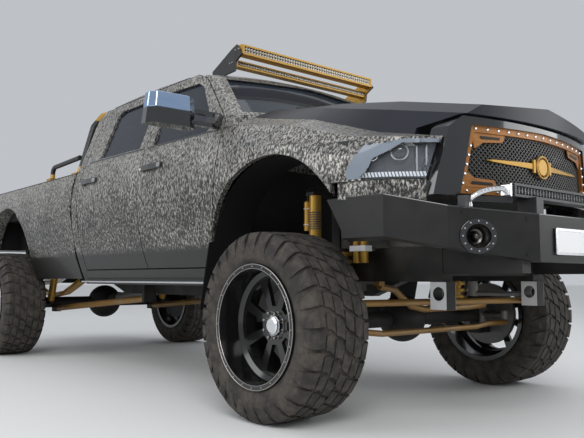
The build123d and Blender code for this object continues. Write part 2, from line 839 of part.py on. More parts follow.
def hood_plan(grow):
    half = [(x + grow, aft) for x, aft in HOOD_EDGE]
    return both_halves([(0, 700), (785 + grow, 700)] + half + [(0, -1100)])


def surround_plan(grow):
    outline = [(x + grow, z + grow) for x, z in SURROUND_OUTLINE]
    return both_halves([(0, 600), (745 + grow, 600)] + outline + [(0, 1478 + grow)])


with BuildPart() as clip:
    add(clip_outer)
    add(clip_inner, mode=Mode.SUBTRACT)
    nose_disc(NOSE_OUTER)

with BuildPart() as hood:
    add(clip.part)
    plan_plate(hood_plan(0), 1200, 2000, Mode.INTERSECT)
    front_plate(surround_plan(7), -1200, -640, Mode.SUBTRACT)
    slab((-560, 560), (-1200, -640), (1000, 1484), Mode.SUBTRACT)
save(hood, "hood")

HEADLIGHT_PLAN = [
    (650, -824),
    (762, -750),
    (850, -658),
    (914, -558),
    (938, -470),
    (880, -440),
    (650, -600),
]
HEADLIGHT_FRONT = [(736, 1180), (936, 1174), (944, 1215), (930, 1296), (900, 1350), (684, 1376)]
TRIM_PLAN = [
    (700, -810),
    (766, -762),
    (856, -668),
    (922, -564),
    (950, -462),
    (900, -440),
    (700, -600),
]

with BuildPart() as headlight:
    plan_plate(HEADLIGHT_PLAN, 1100, 1400)
    front_plate(HEADLIGHT_FRONT, -1000, -300, Mode.INTERSECT)
headlights = both_sides(headlight)
save(headlights, "headlights")

LAMP_GAP = 0.6
FENDER_LAP_OUTLINE = [
    (440, 900),
    (440, 1600),
    (555, 1600),
    (555, 1400),
    (584, 1150),
    (620, 1029),
    (622, 960),
]
with BuildPart() as lamp_pocket:
    with BuildSketch(across(-300)):
        Polygon(*HEADLIGHT_FRONT, align=None)
        offset(amount=LAMP_GAP, kind=Kind.INTERSECTION)
    extrude(amount=500, both=True)
    with BuildSketch(level(1250)) as pocket_plan:
        Polygon(*HEADLIGHT_PLAN, align=None)
        offset(amount=LAMP_GAP, kind=Kind.INTERSECTION)
    extrude(pocket_plan.sketch, amount=300, both=True, mode=Mode.INTERSECT)
    slab((640, 960), (-1000, -420), (1100, 1400), Mode.INTERSECT)

with BuildPart() as fender_lap:
    with BuildSketch(across(450)):
        add(cab_section(0))
    extrude(amount=350, both=True)
    with BuildSketch(across(450)) as lap_inner:
        add(cab_section(REBATE_DEPTH - FIT_GAP))
    extrude(lap_inner.sketch, amount=350, both=True, mode=Mode.SUBTRACT)
    side_plate(FENDER_LAP_OUTLINE, 700, 1100, Mode.INTERSECT)

with BuildPart() as fender:
    add(clip.part)
    slab((600, 1100), (-1100, HOOD_REAR), (500, 2000), Mode.INTERSECT)
    plan_plate(hood_plan(HOOD_GAP), 1000, 2000, Mode.SUBTRACT)
    plan_plate(FENDER_NOSE, 500, 2000, Mode.INTERSECT)
    slab((600, 1100), (-1100, -380), (500, 1172), Mode.SUBTRACT)
    add(lamp_pocket.part, mode=Mode.SUBTRACT)
    add(headlight.part, mode=Mode.SUBTRACT)
    front_plate(surround_plan(6), -1200, -500, Mode.SUBTRACT)
    add(fender_lap.part)
    drum(ARCH_CENTRE, ARCH_RADIUS, (500, 1100), Mode.SUBTRACT)
fenders = both_sides(fender)
save(fenders, "fenders")

# Black wheel arch liners with the flaps behind the front tyres
with BuildPart() as liner:
    drum(ARCH_CENTRE, ARCH_RADIUS - 0.4, (700, 955))
    drum(ARCH_CENTRE, ARCH_RADIUS - 1 - LINER_WALL, (600, 1000), Mode.SUBTRACT)
    slab((600, 1100), (-600, 800), (0, 905), Mode.SUBTRACT)
    slab((600, 1100), (-600, 0), (0, 1112), Mode.SUBTRACT)
    side_plate(
        [(638, 930), (645, 930), (652, 905), (740, 530), (732, 530), (644, 905)], 700, 985
    )
liners = both_sides(liner)
save(liners, "arch_liners")

# Gloss black grille surround with the strips below the headlights
with BuildPart() as grille_surround:
    front_plate(both_halves([(0, 1100)] + SURROUND_OUTLINE + [(0, 1478)]), -1000, -600)
    nose_disc(SURROUND_OUTER)
    with Locations((0, FRONT_AXLE_Y + NOSE_CENTRE, 1300)):
        Cylinder(SURROUND_OUTER - 95, 1400, mode=Mode.SUBTRACT)
    front_plate(both_halves([(0, 1110)] + SURROUND_OPENING + [(0, 1452)]), -1100, -500, Mode.SUBTRACT)
    slab((-330, 330), (-900, -720.3), (1453, 1466))
    plan_plate(TRIM_PLAN, 1100, 1166)
    plan_plate([(-x, aft) for x, aft in TRIM_PLAN], 1100, 1166)
save(grille_surround, "grille_surround")

# Copper grille frame and its mesh
GRILLE_FRAME = [(605.6, 1110.4), (533.6, 1438)]
GRILLE_INNER = [(572, 1142), (506, 1408)]


MESH_OUTLINE = both_halves([(0, 1142.4), (571.6, 1142.4), (505.6, 1407.6), (0, 1417.6)])
MESH_PITCH = 58
MESH_BAR = 11
MESH_LEAN = 40
MESH_EDGE = 12
MESH_MIDDLE = 1280


def nose_band(outer, depth):
    """A shell of even depth behind the bowed nose."""
    nose_disc(outer)
    with Locations((0, FRONT_AXLE_Y + NOSE_CENTRE, 1300)):
        Cylinder(outer - depth, 1400, mode=Mode.SUBTRACT)


with BuildPart() as grille_frame:
    front_plate(both_halves([(0, 1110.4)] + GRILLE_FRAME + [(0, 1451.6)]), -1100, -500)
    nose_band(GRILLE_OUTER + 16, 40)
    front_plate(both_halves([(0, 1142)] + GRILLE_INNER + [(0, 1418)]), -1100, -500, Mode.SUBTRACT)
save(grille_frame, "grille_frame")

with BuildPart() as grille_mesh:
    with BuildSketch(across(-800)) as bars:
        for lean in (MESH_LEAN, -MESH_LEAN):
            with Locations(*[(step * MESH_PITCH, MESH_MIDDLE) for step in range(-12, 13)]):
                Rectangle(MESH_BAR, 420, rotation=lean)
        Polygon(*MESH_OUTLINE, align=None, mode=Mode.INTERSECT)
    with BuildSketch(across(-800)) as mesh_edge:
        Polygon(*MESH_OUTLINE, align=None)
        offset(amount=-MESH_EDGE, kind=Kind.INTERSECTION, mode=Mode.SUBTRACT)
    extrude(bars.sketch, amount=300, both=True)
    extrude(mesh_edge.sketch, amount=300, both=True)
    nose_band(GRILLE_OUTER, 14)
save(grille_mesh, "grille_mesh")

with BuildPart() as radiator:
    slab((-360, 360), (-720, -660), (905, 1470))
    slab((-450, 450), (-700, -660), (880.3, 910))
save(radiator, "radiator")

# Front bumper
BUMPER_PLAN = [(390, -1128), (760, -900), (950, -692), (955, -332)]
BUMPER_INNER = [(900, -332), (896, -672), (724, -860), (372, -1072)]
BUMPER_FRONT = [
    (390, 791),
    (760, 855),
    (960, 908),
    (960, 1100),
    (760, 1041),
    (400, 1008),
]
BUMPER_END = [(-332, 1200), (-332, 1098), (-431, 941), (-431, 700), (0, 700), (0, 1200)]
FOG_CENTRE = (640, 905)
FOG_RADIUS = 56
with BuildPart() as front_bumper:
    plan_plate(both_halves([(0, -1138)] + BUMPER_PLAN + BUMPER_INNER + [(0, -1082)]), 700, 1200)
    front_plate(both_halves([(0, 791)] + BUMPER_FRONT + [(0, 1008)]), -1200, -200, Mode.INTERSECT)
    side_plate(BUMPER_END, -1000, 1000, Mode.SUBTRACT)
    with BuildSketch(across(-700)) as fog_hole:
        with Locations((FOG_CENTRE[0], FOG_CENTRE[1]), (-FOG_CENTRE[0], FOG_CENTRE[1])):
            Circle(FOG_RADIUS)
    extrude(fog_hole.sketch, amount=500, mode=Mode.SUBTRACT)
    twin_slabs((384, 456), (-1076, -640.3), (740, 860))
save(front_bumper, "front_bumper")

with BuildPart() as fog_lamps:
    for side in (-1, 1):
        rod((side * 640, -990, 905), (side * 640, -900, 905), FOG_RADIUS - FIT_GAP)
save(fog_lamps, "fog_lamps")

# Light bars on the roof and on the bumper
BAR_RECESSES = [
    ((-604, 604), (810, 832), (2202, 2244)),
    ((-604, 604), (885, 905), (2134, 2160)),
    ((-458, 458), (-1070, -1046), (1100, 1138)),
]
with BuildPart() as light_bars:
    slab((-620, 620), (820, 890), (2190, 2256))
    slab((-620, 620), (895, 955), (2125, 2168))
    BRACKET = [
        (812, 2188),
        (868, 2262),
        (930, 2240),
        (1150, 2138),
        (1150, 2100),
        (1030, 2082),
        (890, 2088),
        (880, 2150),
    ]
    side_plate(BRACKET, 620, 634)
    side_plate(BRACKET, -634, -620)
    slab((-472, 472), (-1060, -985), (1088, 1150))
    for recess in BAR_RECESSES:
        slab(*recess, Mode.SUBTRACT)
    twin_slabs((300, 360), (-1100, -1000), (1008.3, 1090))
    for side in (-1, 1):
        arm = [(460, -1040), (460, -1010), (630, -905), (690, -905), (690, -945), (650, -950)]
        plan_plate([(side * x, aft) for x, aft in arm], 1060, 1088)
    twin_slabs((640, 690), (-945, -905), (1035, 1062))
save(light_bars, "light_bars")

# Cab interior
with BuildPart() as dashboard:
    side_plate(
        [(650, 1300), (575, 1440), (575, 1640), (640, 1650), (860, 1560), (900, 1460), (820, 1300)],
        -780,
        780,
    )
    add(form_wall, mode=Mode.INTERSECT)
    slab((-150, 150), (880, 1010), (FLOOR_HIGH, 1310))
    rod((380, 870, 1450), (380, 1010, 1500), 26)
    with BuildSketch(Plane(origin=(380, FRONT_AXLE_Y + 1010, 1500), z_dir=(0, 0.94, 0.34))) as wheel:
        Circle(190)
        Circle(158, mode=Mode.SUBTRACT)
        Circle(52)
        Rectangle(330, 30)
    extrude(wheel.sketch, amount=26)
save(dashboard, "dashboard")

SEATS = [(-390, 1150, 270), (390, 1150, 270)]
with BuildPart() as seats:
    for side in (-1, 1):
        inner = 130 if side == 1 else -660
        side_plate([(1080, 960), (1080, 1120), (1560, 1080), (1560, 930)], inner, inner + 530)
        side_plate([(1540, 1090), (1440, 1090), (1560, 1700), (1650, 1690)], inner, inner + 530)
        side_plate([(1572, 1692), (1562, 1880), (1640, 1880), (1650, 1682)], inner + 140, inner + 390)
        slab((inner + 60, inner + 470), (1120, 1520), (FLOOR_HIGH, 945))
    side_plate([(1950, 960), (1950, 1100), (2400, 1060), (2400, 920)], -700, 700)
    side_plate([(2380, 1070), (2300, 1070), (2400, 1640), (2480, 1630)], -700, 700)
    slab((-640, 640), (2000, 2360), (FLOOR_HIGH, 935))
    slab((-100, 100), (1100, 1620), (FLOOR_HIGH, 1120))
save(seats, "seats")

# Tow mirrors on the front doors
with BuildPart() as mirror_left:
    with BuildSketch(level(1575)):
        Polygon((1120, 668), (1120, 600), (1180, 556), (1400, 566), (1436, 610), (1430, 668), align=None)
    with BuildSketch(level(1755)):
        Polygon((1126, 668), (1126, 610), (1180, 572), (1380, 580), (1410, 616), (1406, 668), align=None)
    loft(ruled=True)
    slab((945, 1130), (608, 640), (1606, 1632))
    slab((930, 1130), (608, 640), (1676, 1700))
    side_plate([(592, 1612), (650, 1612), (700, 1655), (655, 1712), (600, 1690)], 900, 985)
    add(form_outer, mode=Mode.SUBTRACT)
save(mirror_left, "mirror_left")
save(right_hand(mirror_left), "mirror_right")

# Cargo bed
BED_WALL_X = 850
WHEELHOUSE_X = 640
WHEELHOUSE_HIGH = 1320
REAR_ARCH = (4180, 850)
REAR_ARCH_RADIUS = 545
BED_LOW = 712
BED_SIDE = [(880, BED_LOW), (948, 900), (1007, 1270), (993, 1440), (962, 1562)]
TAILGATE_FRONT = 5150
TAILGATE_HALF = 843
TAILGATE_LOW = 1010
TAILGATE_HIGH = 1558
TAILGATE_HINGE = (5200, 1030)
TAILGATE_PIN = 10
HEADBOARD = 50

with BuildPart() as bed:
    front_plate(both_halves([(0, BED_LOW)] + BED_SIDE + [(0, 1562)]), BED_FRONT, BED_REAR)
    slab((-BED_WALL_X, BED_WALL_X), (BED_FRONT + HEADBOARD, 5300), (BED_FLOOR_HIGH, 1700), Mode.SUBTRACT)
    slab((-880, 880), (BED_FRONT + 30, 5300), (500, BED_FLOOR_LOW), Mode.SUBTRACT)
    slab((-870, 870), (BED_FRONT - 20, BED_FRONT + 40), (500, BED_FLOOR_LOW), Mode.SUBTRACT)
    twin_slabs((WHEELHOUSE_X, BED_WALL_X + 30), (3620, 4740), (BED_FLOOR_HIGH - 20, WHEELHOUSE_HIGH))
    drum(REAR_ARCH, REAR_ARCH_RADIUS, (860, 1100), Mode.SUBTRACT)
    drum(REAR_ARCH, REAR_ARCH_RADIUS, (-1100, -860), Mode.SUBTRACT)
    for x0, x1 in ((WHEELHOUSE_X + 30, 870), (-870, -WHEELHOUSE_X - 30)):
        slab((x0, x1), (3650, 4710), (900, WHEELHOUSE_HIGH - 30), Mode.SUBTRACT)
    slab((-TAILGATE_HALF - 9, TAILGATE_HALF + 9), (5138, 5300), (BED_FLOOR_LOW - 20, 1700), Mode.SUBTRACT)
    twin_slabs((892, 1100), (5145, 5300), (1150, 1500), Mode.SUBTRACT)
    drum(TAILGATE_HINGE, TAILGATE_PIN + 1, (-876, 876), Mode.SUBTRACT)
save(bed, "bed")

with BuildPart() as tailgate:
    slab(
        (-TAILGATE_HALF, TAILGATE_HALF), (TAILGATE_FRONT, BED_REAR), (TAILGATE_LOW, TAILGATE_HIGH)
    )
    slab((-300, 300), (BED_REAR - 25, BED_REAR + 5), (1400, 1470), Mode.SUBTRACT)
    drum(TAILGATE_HINGE, TAILGATE_PIN, (-875.5, 875.5))
save(tailgate, "tailgate")

with BuildPart() as tail_lamp:
    front_plate(
        [(892.4, 1150.4), (978, 1150.4), (1005, 1270), (991, 1440), (980, 1499.6), (892.4, 1499.6)],
        5145.4,
        5222,
    )
save(both_sides(tail_lamp), "tail_lamps")

REAR_BUMPER_PLAN = [
    (0, 5260),
    (520, 5260),
    (960, 5235),
    (985, 5130),
    (1000, 5130),
    (990, 5300),
    (880, 5340),
    (0, 5340),
]
with BuildPart() as rear_bumper:
    plan_plate(both_halves(REAR_BUMPER_PLAN), 742, 905)
    slab((-330, 330), (5290, 5400), (860, 1000), Mode.SUBTRACT)
    twin_slabs((RAIL_INNER, RAIL_OUTER), (5190.3, 5270), (770, 900))
save(rear_bumper, "rear_bumper")

with BuildPart() as hitch_receiver:
    slab((-40, 40), (5000, 5345), (660, 736))
    slab((-520, 520), (5080, 5150), (664, 732))
    twin_slabs((RAIL_OUTER + FIT_GAP, 476), (5060, 5170), (664, 850))
    slab((-26, 26), (5100, 5400), (672, 724), Mode.SUBTRACT)
    rod((-60, 5300, 698), (60, 5300, 698), 8, Mode.SUBTRACT)
save(hitch_receiver, "hitch_receiver")

# Bed rack hoop behind the cab
with BuildPart() as bed_rack:
    bent_bar(
        [
            (-902, 2700, 1576),
            (-790, 2700, 1990),
            (-700, 2700, 2110),
            (700, 2700, 2110),
            (790, 2700, 1990),
            (902, 2700, 1576),
        ],
        24,
        60,
    )
    twin_slabs((862, 950), (2650, 2760), (1562, 1584))
    bent_bar([(-893, 3300, 1600), (-893, 3300, 1700), (-893, 2720, 1720)], 20, 60)
    bent_bar([(893, 3300, 1600), (893, 3300, 1700), (893, 2720, 1720)], 20, 60)
    twin_slabs((862, 930), (3250, 3350), (1562, 1602))
save(bed_rack, "bed_rack")
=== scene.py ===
import math

import bmesh
import bpy
from mathutils import Matrix, Vector
from mathutils.bvhtree import BVHTree


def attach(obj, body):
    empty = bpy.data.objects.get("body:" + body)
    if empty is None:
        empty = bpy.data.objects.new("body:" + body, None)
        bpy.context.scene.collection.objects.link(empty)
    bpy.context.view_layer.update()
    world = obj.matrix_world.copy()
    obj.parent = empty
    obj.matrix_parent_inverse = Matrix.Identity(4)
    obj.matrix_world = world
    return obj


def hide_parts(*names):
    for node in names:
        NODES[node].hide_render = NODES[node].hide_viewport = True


bl_info = {
    "name": "Lifted crew cab pickup truck",
    "version": (1, 0, 0),
    "blender": (4, 5, 0),
    "location": "View3D > Sidebar > Truck",
    "description": "Finishes and fine detail for a lifted crew cab pickup truck",
    "category": "Object",
}

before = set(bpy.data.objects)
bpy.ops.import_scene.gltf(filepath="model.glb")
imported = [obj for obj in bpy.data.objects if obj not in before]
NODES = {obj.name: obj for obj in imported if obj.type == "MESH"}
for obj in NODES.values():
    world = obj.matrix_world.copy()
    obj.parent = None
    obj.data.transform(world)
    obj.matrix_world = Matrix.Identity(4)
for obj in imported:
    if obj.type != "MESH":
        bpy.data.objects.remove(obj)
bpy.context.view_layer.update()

# The truck's main places and sizes in the row's frame, in metres
FRONT_AXLE_Y = -2.1035
WHEELBASE = 4.077
AXLE_HEIGHT = 0.478
HALF_TRACK = 0.974
COWL_Y, CAB_BACK_Y, TAILGATE_Y = -1.5, 0.53, 3.066
TYRE_RADIUS = 0.478
AFT, UP = Vector((0, 1, 0)), Vector((0, 0, 1))
SIDES = ((1, "left"), (-1, "right"))
WHEELS = [
    (end + side, across, FRONT_AXLE_Y + aft)
    for end, aft in (("front_", 0), ("rear_", WHEELBASE))
    for across, side in SIDES
]


def at(x, aft, z):
    """A point in metres from millimetres across, behind the front axle and up."""
    return Vector((x / 1000, FRONT_AXLE_Y + aft / 1000, z / 1000))


# Shader maths


class Wire:
    """A shader socket that can be added, multiplied and compared."""

    def __init__(self, tree, socket):
        self.tree = tree
        self.socket = socket

    def maths(self, operation, other):
        node = self.tree.nodes.new("ShaderNodeMath")
        node.operation = operation
        put(self.tree, node.inputs[0], self)
        put(self.tree, node.inputs[1], other)
        return Wire(self.tree, node.outputs[0])

    def __add__(self, other):
        return self.maths("ADD", other)

    def __radd__(self, other):
        return self.maths("ADD", other)

    def __sub__(self, other):
        return self.maths("SUBTRACT", other)

    def __rsub__(self, other):
        return self.maths("MULTIPLY", -1).maths("ADD", other)

    def __mul__(self, other):
        return self.maths("MULTIPLY", other)

    def __rmul__(self, other):
        return self.maths("MULTIPLY", other)

    def over(self, level):
        return self.maths("GREATER_THAN", level)

    def under(self, level):
        return self.maths("LESS_THAN", level)

    def ramp(self, low, high):
        """Zero below low, one above high and smooth between them."""
        node = self.tree.nodes.new("ShaderNodeMapRange")
        node.interpolation_type = "SMOOTHSTEP"
        node.inputs["From Min"].default_value = low
        node.inputs["From Max"].default_value = high
        put(self.tree, node.inputs["Value"], self)
        return Wire(self.tree, node.outputs["Result"])


def put(tree, socket, value):
    """Links a socket to a wire, or sets it to a value."""
    if isinstance(value, Wire):
        tree.links.new(value.socket, socket)
    elif socket.type == "RGBA":
        socket.default_value = (*value, 1)
    else:
        socket.default_value = value


class Shader:
    """One material and its node tree."""

    def __init__(self, name):
        self.material = bpy.data.materials.new(name)
        self.material.use_nodes = True
        self.tree = self.material.node_tree
        self.tree.nodes.clear()
        self.output = self.tree.nodes.new("ShaderNodeOutputMaterial")
        self.surface = self.tree.nodes.new("ShaderNodeBsdfPrincipled")
        self.tree.links.new(self.surface.outputs[0], self.output.inputs[0])

    def node(self, kind, settings=(), inputs=(), output=0):
        made = self.tree.nodes.new(kind)
        for key, value in dict(settings).items():
            setattr(made, key, value)
        for key, value in dict(inputs).items():
            put(self.tree, made.inputs[key], value)
        return Wire(self.tree, made.outputs[output])

    def place(self, scale=(1, 1, 1)):
        spot = self.node("ShaderNodeTexCoord", output="Object")
        return self.node("ShaderNodeMapping", inputs={"Vector": spot, "Scale": scale})

    def axis(self, name):
        """A place in the truck's own frame at rest, in metres."""
        spot = self.node("ShaderNodeTexCoord", output="Object")
        return self.node("ShaderNodeSeparateXYZ", inputs={"Vector": spot}, output=name)

    def height(self):
        return self.axis("Z")

    def lining(self):
        """One on the bed's, doors' and arches' inner faces, which are sprayed black."""
        x, y = self.axis("X"), self.axis("Y")
        # Half widths, squared: about 0.875 m in the bed, 0.93 m in the doors and front arches
        reach = 0.766 + y.under(CAB_BACK_Y) * 0.099
        # 1.38 m up in the front arches, 1.555 m behind the cowl
        top = 1.38 + y.over(COWL_Y) * 0.175
        inner = (reach - x * x).over(0) * (top - self.height()).over(0)
        return inner * y.over(FRONT_AXLE_Y - 0.45) * y.under(TAILGATE_Y)

    def noise(self, size, detail=3, where=None, roughness=0.5):
        return self.node(
            "ShaderNodeTexNoise",
            inputs={
                "Vector": where or self.place(),
                "Scale": 1 / size,
                "Detail": detail,
                "Roughness": roughness,
            },
        )

    def cells(self, size, feature, where=None):
        return self.node(
            "ShaderNodeTexVoronoi",
            settings={"feature": feature},
            inputs={"Vector": where or self.place(), "Scale": 1 / size},
            output="Distance",
        )

    def mix(self, factor, first, second):
        made = self.tree.nodes.new("ShaderNodeMix")
        made.data_type = "RGBA"
        put(self.tree, made.inputs[0], factor)
        put(self.tree, made.inputs[6], first)
        put(self.tree, made.inputs[7], second)
        return Wire(self.tree, made.outputs[2])

    def bump(self, height, strength=0.3, distance=0.002):
        return self.node(
            "ShaderNodeBump",
            inputs={"Height": height, "Strength": strength, "Distance": distance},
        )

    def set(self, **values):
        for key, value in values.items():
            put(self.tree, self.surface.inputs[key.replace("_", " ")], value)
        return self.material


def crushed_paint():
    """Near black wrap with upright streaks of crumpled silver flake under a clear coat."""
    s = Shader("crushed_paint")
    colours = bpy.context.scene.truck_colours
    upright = s.place((1, 1, 0.5))
    fine = s.noise(0.0115, 4, upright, 0.62)
    grain = s.noise(0.005, 3, upright)
    broad = s.noise(0.35, 3)
    high = s.height()
    above_sills = high.ramp(0.88, 0.94)
    # Painted sheen: more silver flake higher up the sides, copying the light the upper panels catch
    painted_upper_sheen = high.ramp(1.05, 1.55)
    streak = fine * 0.75 + grain * 0.25 + broad * 0.10 + painted_upper_sheen * 0.05
    flake = streak.ramp(0.51, 0.72) * above_sills * (1 - s.lining())
    fold = s.cells(0.02, "SMOOTH_F1", upright)
    s.set(
        Base_Color=s.mix(flake, (0.009, 0.0085, 0.008), tuple(colours.flake)),
        Metallic=0.25 + flake * 0.5,
        Roughness=0.36 + fine * 0.12,
        Coat_Weight=0.25,
        Coat_Roughness=0.12,
        Normal=s.bump(fine * 0.6 + fold * 0.4, 0.35, 0.004),
    )
    return s.material


def satin_navy():
    """The hood's deep blue, flatter than the body."""
    s = Shader("satin_navy")
    shade = tuple(bpy.context.scene.truck_colours.hood)
    fine = s.noise(0.4, 3)
    peel = s.noise(0.004, 2)
    s.set(
        Base_Color=s.mix(fine, tuple(v * 0.55 for v in shade), shade),
        Roughness=0.34 + fine * 0.12,
        Specular_IOR_Level=0.3,
        Coat_Weight=0.1,
        Coat_Roughness=0.25,
        Normal=s.bump(peel, 0.05, 0.0005),
    )
    return s.material


def powder(
    name, low, high, rough=0.45, metal=0.0, grain=0.0012, dust=0.0, depth=0.2, shine=0.5
):
    """A powder coated, cast or moulded finish with grain and dust."""
    s = Shader(name)
    tone = s.noise(0.09, 4)
    speck = s.noise(grain, 2)
    colour = s.mix(tone, low, high)
    if dust:
        grime = s.noise(0.16, 5).ramp(0.42, 0.72)
        colour = s.mix(grime * dust, colour, (0.30, 0.25, 0.19))
    s.set(
        Base_Color=colour,
        Metallic=metal,
        Roughness=rough + tone * 0.15,
        Specular_IOR_Level=shine,
        Normal=s.bump(speck, depth, 0.0006),
    )
    return s.material


def gloss(name, low, high, rough=0.08, coat=0.8):
    """A smooth lacquered finish."""
    s = Shader(name)
    haze = s.noise(0.3, 3)
    s.set(
        Base_Color=s.mix(haze, low, high),
        Roughness=rough + haze * 0.06,
        Coat_Weight=coat,
        Coat_Roughness=0.04,
        Normal=s.bump(s.noise(0.02, 2), 0.02, 0.0005),
    )
    return s.material


def gold_over_black(s, bare):
    """Gold where the mask is one, and satin black elsewhere."""
    tone = s.noise(0.05, 4)
    shade = tuple(bpy.context.scene.truck_colours.gold)
    gold = s.mix(tone, tuple(v * 0.6 for v in shade), shade)
    black = s.mix(tone, (0.010, 0.010, 0.011), (0.022, 0.022, 0.024))
    s.set(
        Base_Color=s.mix(bare, black, gold),
        Metallic=bare * 0.45,
        Roughness=0.32 + tone * 0.12,
        Normal=s.bump(s.noise(0.0015, 2), 0.15, 0.0005),
    )
    return s.material


def bar_coat():
    """Gold on the roof's light bars, satin black on their brackets and the bumper's bar."""
    s = Shader("bar_coat")
    across = s.axis("X")
    # The bars end 0.62 m from the middle, which is squared here
    roof, ends = 1.6, 0.3846
    return gold_over_black(s, s.height().over(roof) * (across * across).under(ends))


def rack_coat():
    """Gold bends and feet on a satin black hoop."""
    s = Shader("rack_coat")
    high = s.height()
    bend_foot, foot_top = 2.045, 1.64
    return gold_over_black(s, high.over(bend_foot) + high.under(foot_top))


def lamp_glass():
    """Clear lens over the headlights, thin enough to show what is behind it."""
    s = Shader("lamp_glass")
    film = s.noise(0.06, 3)
    s.set(
        Base_Color=s.mix(film, (0.30, 0.34, 0.39), (0.44, 0.48, 0.52)),
        Roughness=0.03 + film * 0.03,
        Alpha=0.09 + film * 0.08,
        Coat_Weight=1.0,
        Coat_Roughness=0.02,
    )
    return s.material


def metal(name, low, high, rough=0.22, size=0.03):
    """Bare, plated or polished metal."""
    s = Shader(name)
    brush = s.noise(size, 5, s.place((1, 1, 6)))
    s.set(
        Base_Color=s.mix(brush, low, high),
        Metallic=1.0,
        Roughness=rough + brush * 0.12,
        Normal=s.bump(brush, 0.05, 0.0005),
    )
    return s.material


def tyre_rubber():
    s = Shader("tyre_rubber")
    dust = s.noise(0.07, 6, roughness=0.7).ramp(0.35, 0.7)
    fine = s.noise(0.003, 3)
    worn = s.mix(dust, (0.014, 0.013, 0.012), (0.075, 0.063, 0.050))
    s.set(
        Base_Color=s.mix(fine * 0.5, worn, (0.04, 0.035, 0.03)),
        Roughness=0.72 + fine * 0.2,
        Normal=s.bump(fine, 0.4, 0.001),
    )
    return s.material


def tinted_glass(name="tinted_glass", tint=(0.012, 0.016, 0.024), clear=0.28):
    s = Shader(name)
    film = s.noise(0.5, 3)
    s.set(
        Base_Color=s.mix(film, tint, tuple(v * 1.6 for v in tint)),
        Roughness=0.03 + film * 0.03,
        Specular_IOR_Level=0.3,
        Alpha=1 - clear + film * 0.1,
        Coat_Weight=0.15,
        Coat_Roughness=0.02,
    )
    return s.material


def red_lens():
    s = Shader("red_lens")
    ribs = s.node(
        "ShaderNodeTexWave",
        inputs={"Vector": s.place(), "Scale": 22.0, "Distortion": 0.2},
        output="Fac",
    )
    s.set(
        Base_Color=s.mix(ribs, (0.22, 0.008, 0.008), (0.5, 0.02, 0.02)),
        Roughness=0.1 + ribs * 0.05,
        Coat_Weight=1.0,
        Coat_Roughness=0.03,
    )
    return s.material


def leather():
    s = Shader("seat_leather")
    grain = s.cells(0.004, "DISTANCE_TO_EDGE")
    s.set(
        Base_Color=s.mix(s.noise(0.1), (0.03, 0.03, 0.033), (0.06, 0.06, 0.065)),
        Roughness=0.5 + grain * 0.2,
        Normal=s.bump(grain, 0.25, 0.0008),
    )
    return s.material


def lamp_glow(name, colour, strength):
    s = Shader(name)
    s.set(Base_Color=colour, Emission_Color=colour, Roughness=0.2, Emission_Strength=strength)
    return s.material


LOOKS = {}


